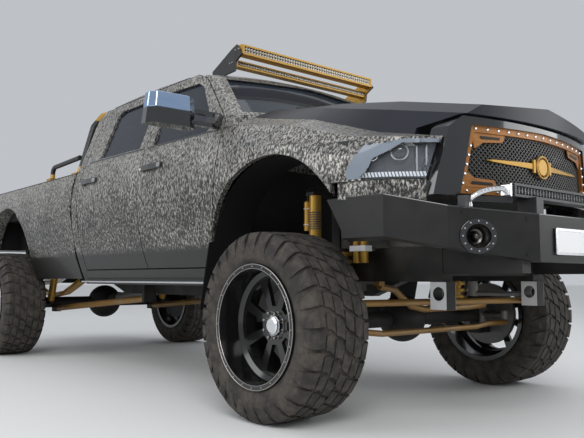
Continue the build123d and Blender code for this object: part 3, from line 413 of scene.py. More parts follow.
def look(name):
    """Materials are made once, when first asked for."""
    gold = tuple(bpy.context.scene.truck_colours.gold)
    dull = tuple(v * 0.6 for v in gold)
    makers = {
        "body": crushed_paint,
        "hood": satin_navy,
        "glass": tinted_glass,
        "windshield": lambda: tinted_glass("windshield_glass", (0.03, 0.038, 0.05), 0.42),
        "tyre": tyre_rubber,
        "red": red_lens,
        "leather": leather,
        "gold": lambda: powder("gold_coat", dull, gold, 0.26, 0.5),
        "bronze": lambda: powder(
            "bronze_coat", (0.20, 0.105, 0.025), (0.34, 0.19, 0.05), 0.36, 0.4, dust=0.25
        ),
        "copper": lambda: powder("copper_coat", (0.24, 0.095, 0.018), (0.40, 0.165, 0.035), 0.3, 0.3),
        "bars": bar_coat,
        "rack": rack_coat,
        # Painted reflection: the caps' chrome is tinted blue to stand in for the sky it reflects
        "mirror_cap_sky_reflection": lambda: metal("mirror_cap_sky_reflection", (0.30, 0.42, 0.62), (0.42, 0.54, 0.74), 0.06, 0.3),
        "smoke": lambda: metal("smoked_reflector", (0.03, 0.029, 0.028), (0.16, 0.15, 0.14), 0.2, 0.008),
        "honeycomb": lambda: metal(
            "honeycomb_reflector", (0.10, 0.09, 0.075), (0.36, 0.33, 0.28), 0.28, 0.01
        ),
        "lamp_glass": lamp_glass,
        "bowl": lambda: metal("lamp_bowl", (0.04, 0.042, 0.045), (0.15, 0.155, 0.165), 0.25, 0.02),
        "plate": lambda: powder("blank_plate", (0.78, 0.78, 0.78), (0.86, 0.86, 0.86), 0.35),
        "weave": lambda: powder("mesh_coat", (0.018, 0.017, 0.016), (0.05, 0.047, 0.043), 0.28, 0.3),
        "lamp_corner": lambda: gloss("lamp_corner", (0.10, 0.12, 0.15), (0.26, 0.30, 0.36), 0.06),
        "tow_plate": lambda: powder("tow_plate", (0.42, 0.42, 0.42), (0.62, 0.62, 0.62), 0.4),
        "boot": lambda: powder("rubber_boot", (0.05, 0.045, 0.04), (0.14, 0.125, 0.11), 0.8),
        "gloss": lambda: gloss("gloss_black", (0.004, 0.004, 0.005), (0.012, 0.012, 0.014)),
        "steel": lambda: powder("black_coat", (0.007, 0.007, 0.007), (0.020, 0.019, 0.018), 0.3, shine=0.3),
        "chassis": lambda: powder(
            "chassis_coat", (0.006, 0.006, 0.006), (0.018, 0.017, 0.016), 0.5, dust=0.06, shine=0.3
        ),
        "plastic": lambda: powder(
            "black_plastic", (0.010, 0.010, 0.010), (0.024, 0.024, 0.024), 0.6, depth=0.4
        ),
        # Black arch felt made darker than the black plastic: part its own black, part painted shade inside
        # the wheel arches
        "liner": lambda: powder(
            "shaded_arch_felt", (0.003, 0.003, 0.003), (0.008, 0.008, 0.008), 0.85, shine=0.2
        ),
        "cast": lambda: powder(
            "cast_metal", (0.13, 0.13, 0.135), (0.26, 0.25, 0.24), 0.5, 0.7, 0.004, 0.35, 0.5
        ),
        "bare": lambda: metal("bare_steel", (0.28, 0.27, 0.26), (0.5, 0.48, 0.46), 0.3),
        "chrome": lambda: metal("chrome", (0.75, 0.77, 0.8), (0.9, 0.91, 0.93), 0.05, 0.2),
        "silver": lambda: metal("silver_cap", (0.62, 0.63, 0.65), (0.85, 0.86, 0.88), 0.18, 0.1),
        "core": lambda: powder("radiator_core", (0.03, 0.03, 0.03), (0.07, 0.07, 0.07), 0.5, 0.6),
        "glow": lambda: lamp_glow("lamp_strip", (0.66, 0.70, 0.76), 0.25),
        "rim": lambda: gloss("rim_black", (0.004, 0.004, 0.004), (0.010, 0.010, 0.010), 0.16, 0.35),
    }
    if name not in LOOKS:
        LOOKS[name] = makers[name]()
    return LOOKS[name]


NODE_LOOKS = {
    "frame": "chassis",
    "engine_block": "cast",
    "driveline": "cast",
    "exhaust": "bare",
    "fuel_tank": "plastic",
    "front_axle": "chassis",
    "rear_axle": "chassis",
    "knuckle_left": "cast",
    "knuckle_right": "cast",
    "tie_rod": "bronze",
    "drag_link": "bronze",
    "pitman_arm": "cast",
    "springs_and_dampers": "gold",
    "suspension_links": "bronze",
    "cab_shell": "body",
    "fenders": "body",
    "hood": "hood",
    "bed": "body",
    "tailgate": "body",
    "windshield": "windshield",
    "rear_glass": "glass",
    "dashboard": "plastic",
    "seats": "leather",
    "headlights": "lamp_glass",
    "grille_surround": "gloss",
    "grille_frame": "copper",
    "grille_mesh": "plastic",
    "radiator": "core",
    "front_bumper": "steel",
    "fog_lamps": "smoke",
    "light_bars": "bars",
    "arch_liners": "liner",
    "tail_lamps": "red",
    "rear_bumper": "steel",
    "hitch_receiver": "steel",
    "bed_rack": "rack",
    "mirror_left": "gloss",
    "mirror_right": "gloss",
    "rim": "rim",
    "tyre": "tyre",
    "door": "body",
    "glass": "glass",
}


def paint(obj, name):
    obj.data.materials.clear()
    obj.data.materials.append(look(name))


def finish_nodes():
    for name, node in NODES.items():
        kind = NODE_LOOKS.get(name) or NODE_LOOKS.get(name.split("_")[0])
        paint(node, kind)


# Mesh helpers


def link(name, data):
    """Puts an object with that data in the scene."""
    obj = bpy.data.objects.new(name, data)
    bpy.context.scene.collection.objects.link(obj)
    return obj


def make(name, mesh, material, body):
    """Turns a finished bmesh into a piece that rides on a body."""
    bmesh.ops.recalc_face_normals(mesh, faces=mesh.faces)
    data = bpy.data.meshes.new(name)
    mesh.to_mesh(data)
    mesh.free()
    data.materials.append(look(material))
    obj = link(name, data)
    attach(obj, body)
    return obj


def bevel(obj, width=0.002, segments=2):
    mod = obj.modifiers.new("bevel", "BEVEL")
    mod.width = width
    mod.segments = segments
    mod.limit_method = "ANGLE"
    mod.angle_limit = math.radians(40)
    return obj


def facing(axis):
    """The matrix that turns +Z to a direction."""
    return Vector(axis).to_track_quat("Z", "Y").to_matrix().to_4x4()


def circle(count, first, second, shift=0.0):
    """Directions evenly round a circle, from the first vector towards the second."""
    for i in range(count):
        a = 2 * math.pi * (i + shift) / count
        yield first * math.cos(a) + second * math.sin(a)


def block(mesh, low, high):
    """Adds a box between two corners."""
    place = Matrix.Translation((low + high) / 2) @ Matrix.Diagonal((*(high - low), 1))
    bmesh.ops.create_cube(mesh, size=1, matrix=place)


def tube(mesh, start, end, radius, sides=24, end_radius=None):
    """Adds a solid rod, or a cone where its end has a radius of its own."""
    axis = end - start
    bmesh.ops.create_cone(
        mesh,
        cap_ends=True,
        segments=sides,
        radius1=radius,
        radius2=radius if end_radius is None else end_radius,
        depth=axis.length,
        matrix=Matrix.Translation((start + end) / 2) @ facing(axis),
    )


def ring(mesh, centre, axis, radius, thick, sides=32, around=10):
    """Adds a torus about an axis."""
    place = Matrix.Translation(centre) @ facing(axis)
    rows = []
    for i in range(sides):
        a = 2 * math.pi * i / sides
        row = []
        for j in range(around):
            b = 2 * math.pi * j / around
            r = radius + thick * math.cos(b)
            spot = Vector((r * math.cos(a), r * math.sin(a), thick * math.sin(b)))
            row.append(mesh.verts.new(place @ spot))
        rows.append(row)
    for i in range(sides):
        for j in range(around):
            k, m = (i + 1) % sides, (j + 1) % around
            mesh.faces.new((rows[i][j], rows[k][j], rows[k][m], rows[i][m]))


def wall(mesh, one, two):
    """Adds the faces between two closed rings of vertices."""
    for i in range(len(one)):
        j = (i + 1) % len(one)
        mesh.faces.new((one[i], one[j], two[j], two[i]))


def loft(mesh, rings):
    """Adds a solid through rings of vertices, closed at both ends."""
    for one, two in zip(rings, rings[1:]):
        wall(mesh, one, two)
    mesh.faces.new(rings[0])
    mesh.faces.new(rings[-1][::-1])


def prism(mesh, outline, shift):
    """Adds a closed prism from a ring of points and the vector that it is pushed along."""
    bottom = [mesh.verts.new(p) for p in outline]
    loft(mesh, [bottom, [mesh.verts.new(p + Vector(shift)) for p in outline]])


def band(mesh, outer, inner, shift):
    """Adds a flat ring between two outlines with the same count of points."""
    front_out, front_in = ([mesh.verts.new(p) for p in line] for line in (outer, inner))
    back_out, back_in = ([mesh.verts.new(p + shift) for p in line] for line in (outer, inner))
    wall(mesh, front_out, front_in)
    wall(mesh, back_in, back_out)
    wall(mesh, back_out, front_out)
    wall(mesh, front_in, back_in)


# One side's blocks within a pitch of the tread: each runs up one edge and back down the other,
# as (metres from the tyre's middle, share of a pitch).
BLOCKS = [
    [(0.004, 0.06), (0.028, 0.22), (0.056, 0.30), (0.056, 1.12), (0.028, 1.00), (0.004, 0.80)],
    [(0.066, 0.42), (0.090, 0.60), (0.114, 0.62), (0.114, 1.30), (0.090, 1.36), (0.066, 1.22)],
    [
        (0.124, 0.70), (0.142, 0.72), (0.158, 0.70), (0.172, 0.68), (0.186, 0.66), (0.190, 0.70),
        (0.190, 1.06), (0.186, 1.34), (0.172, 1.46), (0.158, 1.52), (0.142, 1.54), (0.124, 1.50),
    ],
]


class TruckTyres(bpy.types.PropertyGroup):
    blocks: bpy.props.IntProperty(
        name="Tread pitches", description="Rows of blocks round each tyre", default=30, min=20, max=60
    )
    depth: bpy.props.FloatProperty(
        name="Tread depth",
        description="Depth of the grooves between the blocks",
        default=0.011,
        subtype="DISTANCE",
        unit="LENGTH",
    )


class TruckColours(bpy.types.PropertyGroup):
    flake: bpy.props.FloatVectorProperty(
        name="Flake",
        description="Colour of the silver flake in the body's wrap",
        default=(0.50, 0.48, 0.44),
        subtype="COLOR",
    )
    hood: bpy.props.FloatVectorProperty(
        name="Hood", description="Colour of the hood", default=(0.016, 0.018, 0.028), subtype="COLOR"
    )
    gold: bpy.props.FloatVectorProperty(
        name="Gold",
        description="Colour of the coat on the springs, light bars and bed rack",
        default=(0.55, 0.31, 0.05),
        subtype="COLOR",
    )


class TruckStage(bpy.types.PropertyGroup):
    floor: bpy.props.FloatVectorProperty(
        name="Floor", description="Colour of the floor", default=(0.80, 0.80, 0.79), subtype="COLOR"
    )
    key: bpy.props.FloatProperty(
        name="Key light", description="Power of the key light", default=560.0, unit="POWER"
    )


class TRUCK_OT_finishes(bpy.types.Operator):
    """Give every solid of the frame its finish"""

    bl_idname = "truck.finishes"
    bl_label = "Finishes"

    def execute(self, context):
        finish_nodes()
        return {"FINISHED"}


class TRUCK_OT_tyres(bpy.types.Operator):
    """Model each tyre: its carcass and the hooked blocks of the tread"""

    bl_idname = "truck.tyres"
    bl_label = "Tyres"

    def execute(self, context):
        sizes = context.scene.truck_tyres
        for corner, side, y in WHEELS:
            mesh = bmesh.new()
            centre = Vector((side * HALF_TRACK, y, AXLE_HEIGHT))
            self.carcass(mesh, centre, sizes.depth)
            for i in range(sizes.blocks):
                for face in (1, -1):
                    for outline in BLOCKS:
                        self.block(mesh, centre, i + (0 if face == 1 else 0.5), face, outline)
            tread = make("tyre_tread_" + corner, mesh, "tyre", "wheel_" + corner)
            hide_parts("tyre_" + corner)
        return {"FINISHED"}

    def carcass(self, mesh, centre, depth):
        """The tyre without its blocks, turned about the axle."""
        low = TYRE_RADIUS - depth
        half = [(0, low), (0.10, low - 0.001), (0.138, low - 0.005), (0.157, low - 0.014)]
        half += [(0.170, low - 0.032), (0.178, 0.420), (0.1855, 0.392), (0.1855, 0.365)]
        half += [(0.181, 0.340), (0.172, 0.322), (0.169, 0.3155), (0.142, 0.3155)]
        half += [(0.158, 0.38), (0.150, 0.438), (0, 0.446)]
        line = half + [(-x, r) for x, r in reversed(half[1:-1])]
        rings = [
            [mesh.verts.new(centre + Vector((x, 0, 0)) + turn * r) for x, r in line]
            for turn in circle(112, AFT, UP)
        ]
        for one, two in zip(rings, rings[1:] + rings[:1]):
            wall(mesh, one, two)

    def crown(self, x):
        """Radius of the blocks' tops at a distance from the tyre's middle."""
        points = [(0, TYRE_RADIUS), (0.06, TYRE_RADIUS), (0.158, 0.473), (0.172, 0.458)]
        points += [(0.186, 0.438), (0.190, 0.392)]
        for (low, first), (high, second) in zip(points, points[1:]):
            if x <= high:
                return first + (second - first) * (x - low) / (high - low)
        return points[-1][1]

    def block(self, mesh, centre, place, face, outline):
        """One block: a flat outline of (across, along) laid round the tyre."""
        step = 2 * math.pi / bpy.context.scene.truck_tyres.blocks
        deep, shoulder, lean = 0.018, 0.15, 0.985
        tops, feet = [], []
        for across, along in outline:
            a = (place + along) * step * face
            turn = AFT * math.cos(a) + UP * math.sin(a)
            high = self.crown(across)
            x = face * across
            tops.append(mesh.verts.new(centre + Vector((x, 0, 0)) + turn * high))
            inward = x * (lean if across > shoulder else 1)
            feet.append(mesh.verts.new(centre + Vector((inward, 0, 0)) + turn * (high - deep)))
        for line, way in ((tops, 1), (feet, -1)):
            for i in range(len(outline) // 2 - 1):
                j = len(outline) - 1 - i
                mesh.faces.new((line[i], line[i + 1], line[j - 1], line[j])[::way])
        wall(mesh, feet, tops)


class TRUCK_OT_wheels(bpy.types.Operator):
    """Add the hub caps, wheel nuts and the machined lips to the rims"""

    bl_idname = "truck.wheels"
    bl_label = "Wheel trim"

    def execute(self, context):
        for corner, side, y in WHEELS:
            centre = Vector((side * HALF_TRACK, y, AXLE_HEIGHT))
            face = Vector((side, 0, 0))
            body = "wheel_" + corner
            mesh = bmesh.new()
            tube(mesh, centre + face * 0.044, centre + face * 0.058, 0.048, 40, 0.047)
            tube(mesh, centre + face * 0.058, centre + face * 0.063, 0.047, 40, 0.034)
            ring(mesh, centre + face * 0.047, face, 0.050, 0.003, 48, 8)
            bevel(make("hub_cap_" + corner, mesh, "silver", body), 0.001)
            mesh = bmesh.new()
            for turn in circle(8, AFT, UP, 0.5):
                spot = centre + turn * 0.066
                tube(mesh, spot + face * 0.036, spot + face * 0.062, 0.0085, 6, 0.0075)
                tube(mesh, spot + face * 0.036, spot + face * 0.040, 0.011, 16)
            bevel(make("wheel_nuts_" + corner, mesh, "bare", body), 0.0008)
            mesh = bmesh.new()
            ring(mesh, centre + face * 0.182, face, 0.3105, 0.0022, 96, 8)
            ring(mesh, centre + face * 0.182, face, 0.289, 0.0016, 96, 6)
            ring(mesh, centre + face * 0.037, face, 0.262, 0.002, 80, 6)
            for turn in circle(24, AFT, UP):
                spot = centre + turn * 0.300
                tube(mesh, spot + face * 0.181, spot + face * 0.1855, 0.0045, 8, 0.0035)
            make("rim_lip_" + corner, mesh, "bare", body)
        return {"FINISHED"}


class TRUCK_OT_handles(bpy.types.Operator):
    """Add the pull handles and lock buttons to the doors and the tailgate"""

    bl_idname = "truck.handles"
    bl_label = "Handles"

    def execute(self, context):
        # Across and along the door: the grip's outer face, and back inside it
        pull = [(984, 0), (1008, 5), (1019, 34), (1021, 140), (1018, 240), (1006, 272), (984, 278)]
        pull += [(984, 250), (1002, 236), (1006, 200), (1006, 80), (1001, 44), (984, 32)]
        doors = [("front", 1196, 1462, *side) for side in SIDES]
        doors += [("rear", 2178, 1466, *side) for side in SIDES]
        for end, aft, z, side, name in doors:
            door = "door_%s_%s" % (end, name)
            mesh = bmesh.new()
            outline = [at(side * x, aft + along, z - 19) for x, along in pull]
            prism(mesh, outline, (-side * 0.004, 0, 0.038))
            bevel(make("handle_" + door, mesh, "gloss", door), 0.005, 3)
            mesh = bmesh.new()
            rim = [at(side * x, aft + y, z + up) for x, y, up in self.cup()]
            prism(mesh, rim, (side * 0.003, 0, 0))
            tube(mesh, at(side * 980, aft + 300, z), at(side * 995, aft + 300, z), 0.011, 24, 0.009)
            bevel(make("handle_trim_" + door, mesh, "chrome", door), 0.001)
        mesh = bmesh.new()
        outline = [(-118, 1412), (118, 1412), (126, 1420), (126, 1450), (118, 1458), (-118, 1458)]
        outline += [(-126, 1450), (-126, 1420)]
        prism(mesh, [at(x, 5192, z) for x, z in outline], (0, 0.018, 0))
        prism(mesh, [at(x * 0.8, 5204, 1435 + (z - 1435) * 0.5) for x, z in outline], (0, 0.010, 0))
        bevel(make("tailgate_handle", mesh, "gloss", "tailgate"), 0.003)
        return {"FINISHED"}

    def cup(self):
        """The rim of the finger cup behind a handle, on the door's leaning skin."""
        lean = 49 / 168
        for turn in circle(20, Vector((66, 0)), Vector((0, 24))):
            yield 990.5 - (22 + turn.y) * lean, 140 + turn.x, turn.y


def nose(x, z, outer=2084):
    """A point on the bowed nose in front of the grille."""
    return at(x, 1147 - math.sqrt(outer**2 - x**2), z)


def bowed_plate(mesh, outline, outer, thick):
    """A flat plate bent to the nose's bow."""
    front = [nose(x, z, outer) for x, z in outline]
    prism(mesh, front, (0, thick, 0))


class TRUCK_OT_grille(bpy.types.Operator):
    """Weave the grille's mesh and add its rivets, corner plates and plain centre bar"""

    bl_idname = "truck.grille"
    bl_label = "Grille"

    def execute(self, context):
        mesh = bmesh.new()
        for lean, outer in ((1.1, 2066), (-1.1, 2064)):
            for step in range(-26, 27):
                self.wire(mesh, step * 28, lean, outer)
        rim = [(-569, 1145), (569, 1145), (503, 1405), (0, 1414), (-503, 1405)]
        for (x, z), (end_x, end_z) in zip(rim, rim[1:] + rim[:1]):
            self.strip(mesh, (x, z), (end_x, end_z), 2066, 0.004)
        woven = make("grille_weave", mesh, "weave", "chassis")
        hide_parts("grille_mesh")
        mesh = bmesh.new()
        rivets = [(-560 + 1120 * i / 12, 1126) for i in range(13)]
        rivets += [(-500 + 1000 * i / 14, 1425 + 9 * (1 - abs(i - 7) / 7)) for i in range(15)]
        for side in (-1, 1):
            rivets += [(side * (580 - 60 * k / 5), 1160 + 225 * k / 5) for k in range(5)]
        for x, z in rivets:
            spot = nose(x, z, 2084)
            tube(mesh, spot + AFT * 0.002, spot - AFT * 0.003, 0.0085, 12, 0.0075)
            tube(mesh, spot - AFT * 0.003, spot - AFT * 0.006, 0.0075, 12, 0.004)
        make("grille_rivets", mesh, "silver", "chassis")
        mesh = bmesh.new()
        upper = [(504, 1409), (300, 1414), (318, 1374), (448, 1362), (500, 1330), (513, 1378)]
        lower = [(570, 1144), (360, 1144), (382, 1186), (506, 1190), (556, 1222), (566, 1170)]
        for side in (-1, 1):
            for outline in (upper, lower):
                bowed_plate(mesh, [(side * x, z) for x, z in outline], 2079, 0.008)
        bevel(make("grille_corner_plates", mesh, "copper", "chassis"), 0.002)
        mesh = bmesh.new()
        for side in (-1, 1):
            for points in (
                [(468, 1394), (338, 1397), (344, 1384), (460, 1380)],
                [(528, 1160), (392, 1160), (400, 1173), (520, 1174)],
            ):
                bowed_plate(mesh, [(side * x, z) for x, z in points], 2081, 0.002)
        bevel(make("grille_corner_slots", mesh, "steel", "chassis"), 0.001)
        mesh = bmesh.new()
        half = [(-432, 1282), (-390, 1288), (-70, 1298), (-70, 1266), (-390, 1276)]
        bowed_plate(mesh, half, 2078, 0.010)
        bowed_plate(mesh, [(-x, z) for x, z in reversed(half)], 2078, 0.010)
        bowed_plate(mesh, [(-84, 1316), (-66, 1316), (-66, 1248), (-84, 1248)], 2082, 0.012)
        bowed_plate(mesh, [(66, 1316), (84, 1316), (84, 1248), (66, 1248)], 2082, 0.012)
        ring(mesh, nose(0, 1282, 2080), -AFT, 0.056, 0.006, 48, 10)
        tube(mesh, nose(0, 1282, 2074), nose(0, 1282, 2083), 0.046, 40, 0.042)
        bevel(make("grille_bar", mesh, "gold", "chassis"), 0.002)
        return {"FINISHED"}

    def wire(self, mesh, across, lean, outer):
        """One slanting wire of the mesh, cut off where the frame's opening ends."""
        low, top = 1144, 1409
        half_foot, foot_z, slope, middle = 571, 1142, 0.2489, 1280
        for edge in (1, -1):
            # edge * (across + (z - middle) * lean) = half_foot - (z - foot_z) * slope
            rate = edge * lean + slope
            z = (half_foot + foot_z * slope - edge * (across - middle * lean)) / rate
            if rate > 0:
                top = min(top, z)
            else:
                low = max(low, z)
        if top - low > 6:
            foot, head = ((across + (z - middle) * lean, z) for z in (low, top))
            self.strip(mesh, foot, head, outer, 0.0026)

    def strip(self, mesh, start, end, outer, half):
        """A wire bent to the nose's bow between two points of the grille."""
        count = 10
        way = Vector((end[0] - start[0], end[1] - start[1])).normalized()
        side, deep = Vector((-way.y, 0, way.x)) * half, AFT * 0.006
        rings = []
        for k in range(count + 1):
            spot = nose(*(a + (b - a) * k / count for a, b in zip(start, end)), outer)
            corners = (spot + side, spot - side, spot - side + deep, spot + side + deep)
            rings.append([mesh.verts.new(c) for c in corners])
        loft(mesh, rings)


class TRUCK_OT_lamps(bpy.types.Operator):
    """Fill the headlights, add the strips under them and dress the fog lamps"""

    bl_idname = "truck.lamps"
    bl_label = "Headlights and fog lamps"

    def execute(self, context):
        bowl = [(648, -770), (738, -694), (806, -612), (866, -530), (898, -476), (874, -456)]
        bowl += [(652, -604)]
        fogs = []
        for side, name in SIDES:
            look_out = Vector((side * 0.72, -0.69, 0))
            mesh = bmesh.new()
            prism(mesh, [at(side * x, aft, 1192) for x, aft in bowl], (0, 0, 0.148))
            bevel(make("headlight_bowl_" + name, mesh, "bowl", "chassis"), 0.006)
            mesh = bmesh.new()
            centre = at(side * 806, -668, 1308)
            ring(mesh, centre, look_out, 0.040, 0.0035, 48, 10)
            tube(mesh, centre - look_out * 0.05, centre, 0.041, 40)
            make("projector_ring_" + name, mesh, "chrome", "chassis")
            mesh = bmesh.new()
            shape = Matrix.Translation(centre) @ facing(look_out) @ Matrix.Diagonal((1, 1, 0.5, 1))
            bmesh.ops.create_uvsphere(mesh, u_segments=32, v_segments=16, radius=0.036, matrix=shape)
            make("projector_lens_" + name, mesh, "gloss", "chassis")
            mesh = bmesh.new()
            line = [(720, -760), (790, -694), (852, -622), (900, -540), (916, -488)]
            for k in range(22):
                x, aft = self.along(line, k / 21)
                foot = at(side * x, aft, 1190)
                lean = Vector((side * 0.006, 0.004, 0.022))
                edge = Vector((side * 0.0075, 0.0075, 0))
                depth = look_out * -0.010
                prism(mesh, [foot, foot + edge, foot + edge + lean, foot + lean], depth)
            make("headlight_strip_" + name, mesh, "glow", "chassis")
            mesh = bmesh.new()
            for k in range(3):
                x, aft = self.along([(668, -790), (740, -730)], k / 2)
                low, high = at(side * x, aft + 14, 1200 + 8 * k), at(side * x, aft + 14, 1344 - 4 * k)
                tube(mesh, low, high, 0.006, 10)
            spot = at(side * 872, -556, 1296)
            ring(mesh, spot, look_out, 0.024, 0.004, 32, 8)
            make("headlight_bezels_" + name, mesh, "chrome", "chassis")
            fogs.append(self.fog(side, name))
            self.valance(side, name)
            self.corner(side, name)
        self.fog_cups(fogs)
        return {"FINISHED"}

    def corner(self, side, name):
        """The lens' end that wraps round the fender, laid on the fender's own skin."""
        skin = NODES["fenders"]
        turn = skin.matrix_world
        tree = BVHTree.FromPolygons(
            [turn @ v.co for v in skin.data.vertices], [p.vertices for p in skin.data.polygons]
        )
        outer = [(962, 1176), (966, 1215), (948, 1294), (912, 1342), (800, 1362), (700, 1370)]
        foot, height, width, tall, wide = 1180, 180, 240, 60, 80
        back, step = at(0, -380, 0).y, 0.03
        mesh = bmesh.new()
        rows = []
        for k in range(tall + 1):
            z = foot + height * k / tall
            for (a, low), (b, high) in zip(outer, outer[1:]):
                if low <= z <= high:
                    edge = a + (b - a) * (z - low) / (high - low)
            row = []
            for i in range(wide + 1):
                spot = at(side * (edge - width * i / wide), -1300, z)
                hit, normal, _, _ = tree.ray_cast(spot, AFT)
                near = hit is not None and hit.y < back and abs(normal.z) < 0.9
                row.append(mesh.verts.new(hit + Vector((side * 0.002, -0.002, 0))) if near else None)
            rows.append(row)
        for one, two in zip(rows, rows[1:]):
            for i in range(wide):
                four = (one[i], one[i + 1], two[i + 1], two[i])
                if None not in four and max(v.co.y for v in four) - min(v.co.y for v in four) < step:
                    mesh.faces.new(four)
        bmesh.ops.delete(mesh, geom=[v for v in mesh.verts if not v.link_faces], context="VERTS")
        obj = make("headlight_corner_" + name, mesh, "lamp_corner", "chassis")
        obj.modifiers.new("wall", "SOLIDIFY").thickness = 0.002

    def valance(self, side, name):
        """The strip of body colour under the headlight."""
        line = [(750, -776), (770, -761), (857, -670), (923, -566), (952, -462), (966, -420)]
        mesh = bmesh.new()
        low = [mesh.verts.new(at(side * x, aft, 1046 + (x - 750) * 0.2)) for x, aft in line]
        high = [mesh.verts.new(at(side * x, aft, 1171)) for x, aft in line]
        for i in range(len(line) - 1):
            mesh.faces.new((low[i], low[i + 1], high[i + 1], high[i]))
        obj = make("valance_" + name, mesh, "body", "chassis")
        mod = obj.modifiers.new("wall", "SOLIDIFY")
        mod.thickness = 0.003
        mod.offset = 0

    def along(self, line, share):
        """The point at that share of a line of (across, aft) points."""
        lengths = [math.dist(a, b) for a, b in zip(line, line[1:])]
        left = share * sum(lengths)
        for (a, b), length in zip(zip(line, line[1:]), lengths):
            if left <= length + 1e-6:
                t = left / length
                return a[0] + (b[0] - a[0]) * t, a[1] + (b[1] - a[1]) * t
            left -= length
        return line[-1]

    def fog(self, side, name):
        """Bezel and bolts on the bumper's slanting face, round the lamp's cup."""
        out = Vector((side * 0.5246, -0.8513, 0))
        along = Vector((side * 0.8513, 0.5246, 0))
        centre = at(side * 640, -974, 905) + out * 0.001
        thick, stretch = out * 0.006, 1.12
        mesh = bmesh.new()
        rim = [centre + turn * 0.078 + thick for turn in circle(48, along * stretch, UP)]
        hole = [centre + turn * 0.054 + thick for turn in circle(48, along * stretch, UP)]
        band(mesh, rim, hole, -thick)
        bevel(make("fog_bezel_" + name, mesh, "gloss", "chassis"), 0.0015)
        mesh = bmesh.new()
        for turn in circle(12, along * stretch, UP):
            spot = centre + turn * 0.067 + thick
            tube(mesh, spot, spot + out * 0.004, 0.0048, 8, 0.0036)
        make("fog_bolts_" + name, mesh, "chrome", "chassis")
        return centre, out, along

    def fog_cups(self, lamps):
        """Dished reflectors with a bulb's cap, set in the bumper's holes."""
        mesh = bmesh.new()
        for centre, out, along in lamps:
            rings = []
            for share, deep in ((1, 0.003), (0.92, -0.006), (0.62, -0.030), (0.26, -0.038)):
                mouth = centre + out * deep
                spots = [mouth + turn * 0.0535 * share for turn in circle(48, along, UP)]
                rings.append([mesh.verts.new(p) for p in spots])
            for one, two in zip(rings, rings[1:]):
                wall(mesh, one, two)
            mesh.faces.new(rings[-1])
            bulb = Matrix.Translation(centre - out * 0.022)
            bmesh.ops.create_uvsphere(mesh, u_segments=24, v_segments=12, radius=0.017, matrix=bulb)
        cups = make("fog_lamp_cups", mesh, "smoke", "chassis")
        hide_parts("fog_lamps")


class TRUCK_OT_light_bars(bpy.types.Operator):
    """Fit the reflectors, slats and bolts of the light bars and the arms of the bumper's bar"""

    bl_idname = "truck.light_bars"
    bl_label = "Light bars"

    def execute(self, context):
        combs = ("honeycomb", "honeycomb", "gold_paint")
        rows = [
            ("upper", 1204, 832, [2212.5, 2233.5], 52, 10, *combs),
            ("lower", 1204, 905, [2147], 52, 11, *combs),
            ("bumper", 912, -1046, [1119], 34, 15, "bowl", "bare", "bare_steel"),
        ]
        for name, width, back, heights, count, half, face, grid, slot in rows:
            pitch = width / count
            cups, bars = bmesh.new(), bmesh.new()
            for z in heights:
                for i in range(count):
                    x = -width / 2 + pitch * (i + 0.5)
                    self.cup(cups, x, back, z, min(half, pitch / 2 - 1))
            for i in range(count + 1):
                x = -width / 2 + pitch * i
                low, high = min(heights) - half, max(heights) + half
                block(bars, at(x - 1, back - 9, low), at(x + 1, back, high))
            if len(heights) > 1:
                middle = sum(heights) / 2
                block(bars, at(-width / 2, back - 9, middle - 1), at(width / 2, back, middle + 1))
            make("reflectors_" + name, cups, face, "chassis")
            make("slats_" + name, bars, grid, "chassis")
        mesh = bmesh.new()
        for side in (-1, 1):
            for aft in (840, 875, 912, 940):
                z = 2224 if aft < 900 else 2148
                tube(mesh, at(side * 633, aft, z), at(side * 640, aft, z), 0.007, 6, 0.006)
        make("light_bar_bolts", mesh, "bare", "chassis")
        mesh = bmesh.new()
        for side in (-1, 1):
            arm = [(474, 1146), (474, 1090), (488, 1084), (500, 1092), (500, 1140), (488, 1150)]
            prism(mesh, [at(side * x, -1052, z) for x, z in arm], (0, 0.05, 0))
            last = None
            for k in range(13):
                a = math.pi * k / 24
                spot = at(side * (496 + 150 * math.sin(a)), -1020 + 84 * k / 12, 1066 + 58 * math.cos(a))
                if last is not None:
                    tube(mesh, last, spot + (spot - last) * 0.2, 0.013, 16)
                last = spot
            tube(mesh, at(side * 646, -934, 1036), at(side * 646, -934, 1078), 0.018, 24, 0.014)
        bevel(make("bumper_bar_arms", mesh, "silver", "chassis"), 0.003)
        return {"FINISHED"}

    def cup(self, mesh, x, back, z, half):
        """A square reflector that narrows towards its back."""
        wide = [(-half, -half), (half, -half), (half, half), (-half, half)]
        front = [mesh.verts.new(at(x + u, back - 8, z + v)) for u, v in wide]
        deep = [mesh.verts.new(at(x + u * 0.35, back - 1.5, z + v * 0.35)) for u, v in wide]
        mesh.faces.new(deep)
        wall(mesh, front, deep)


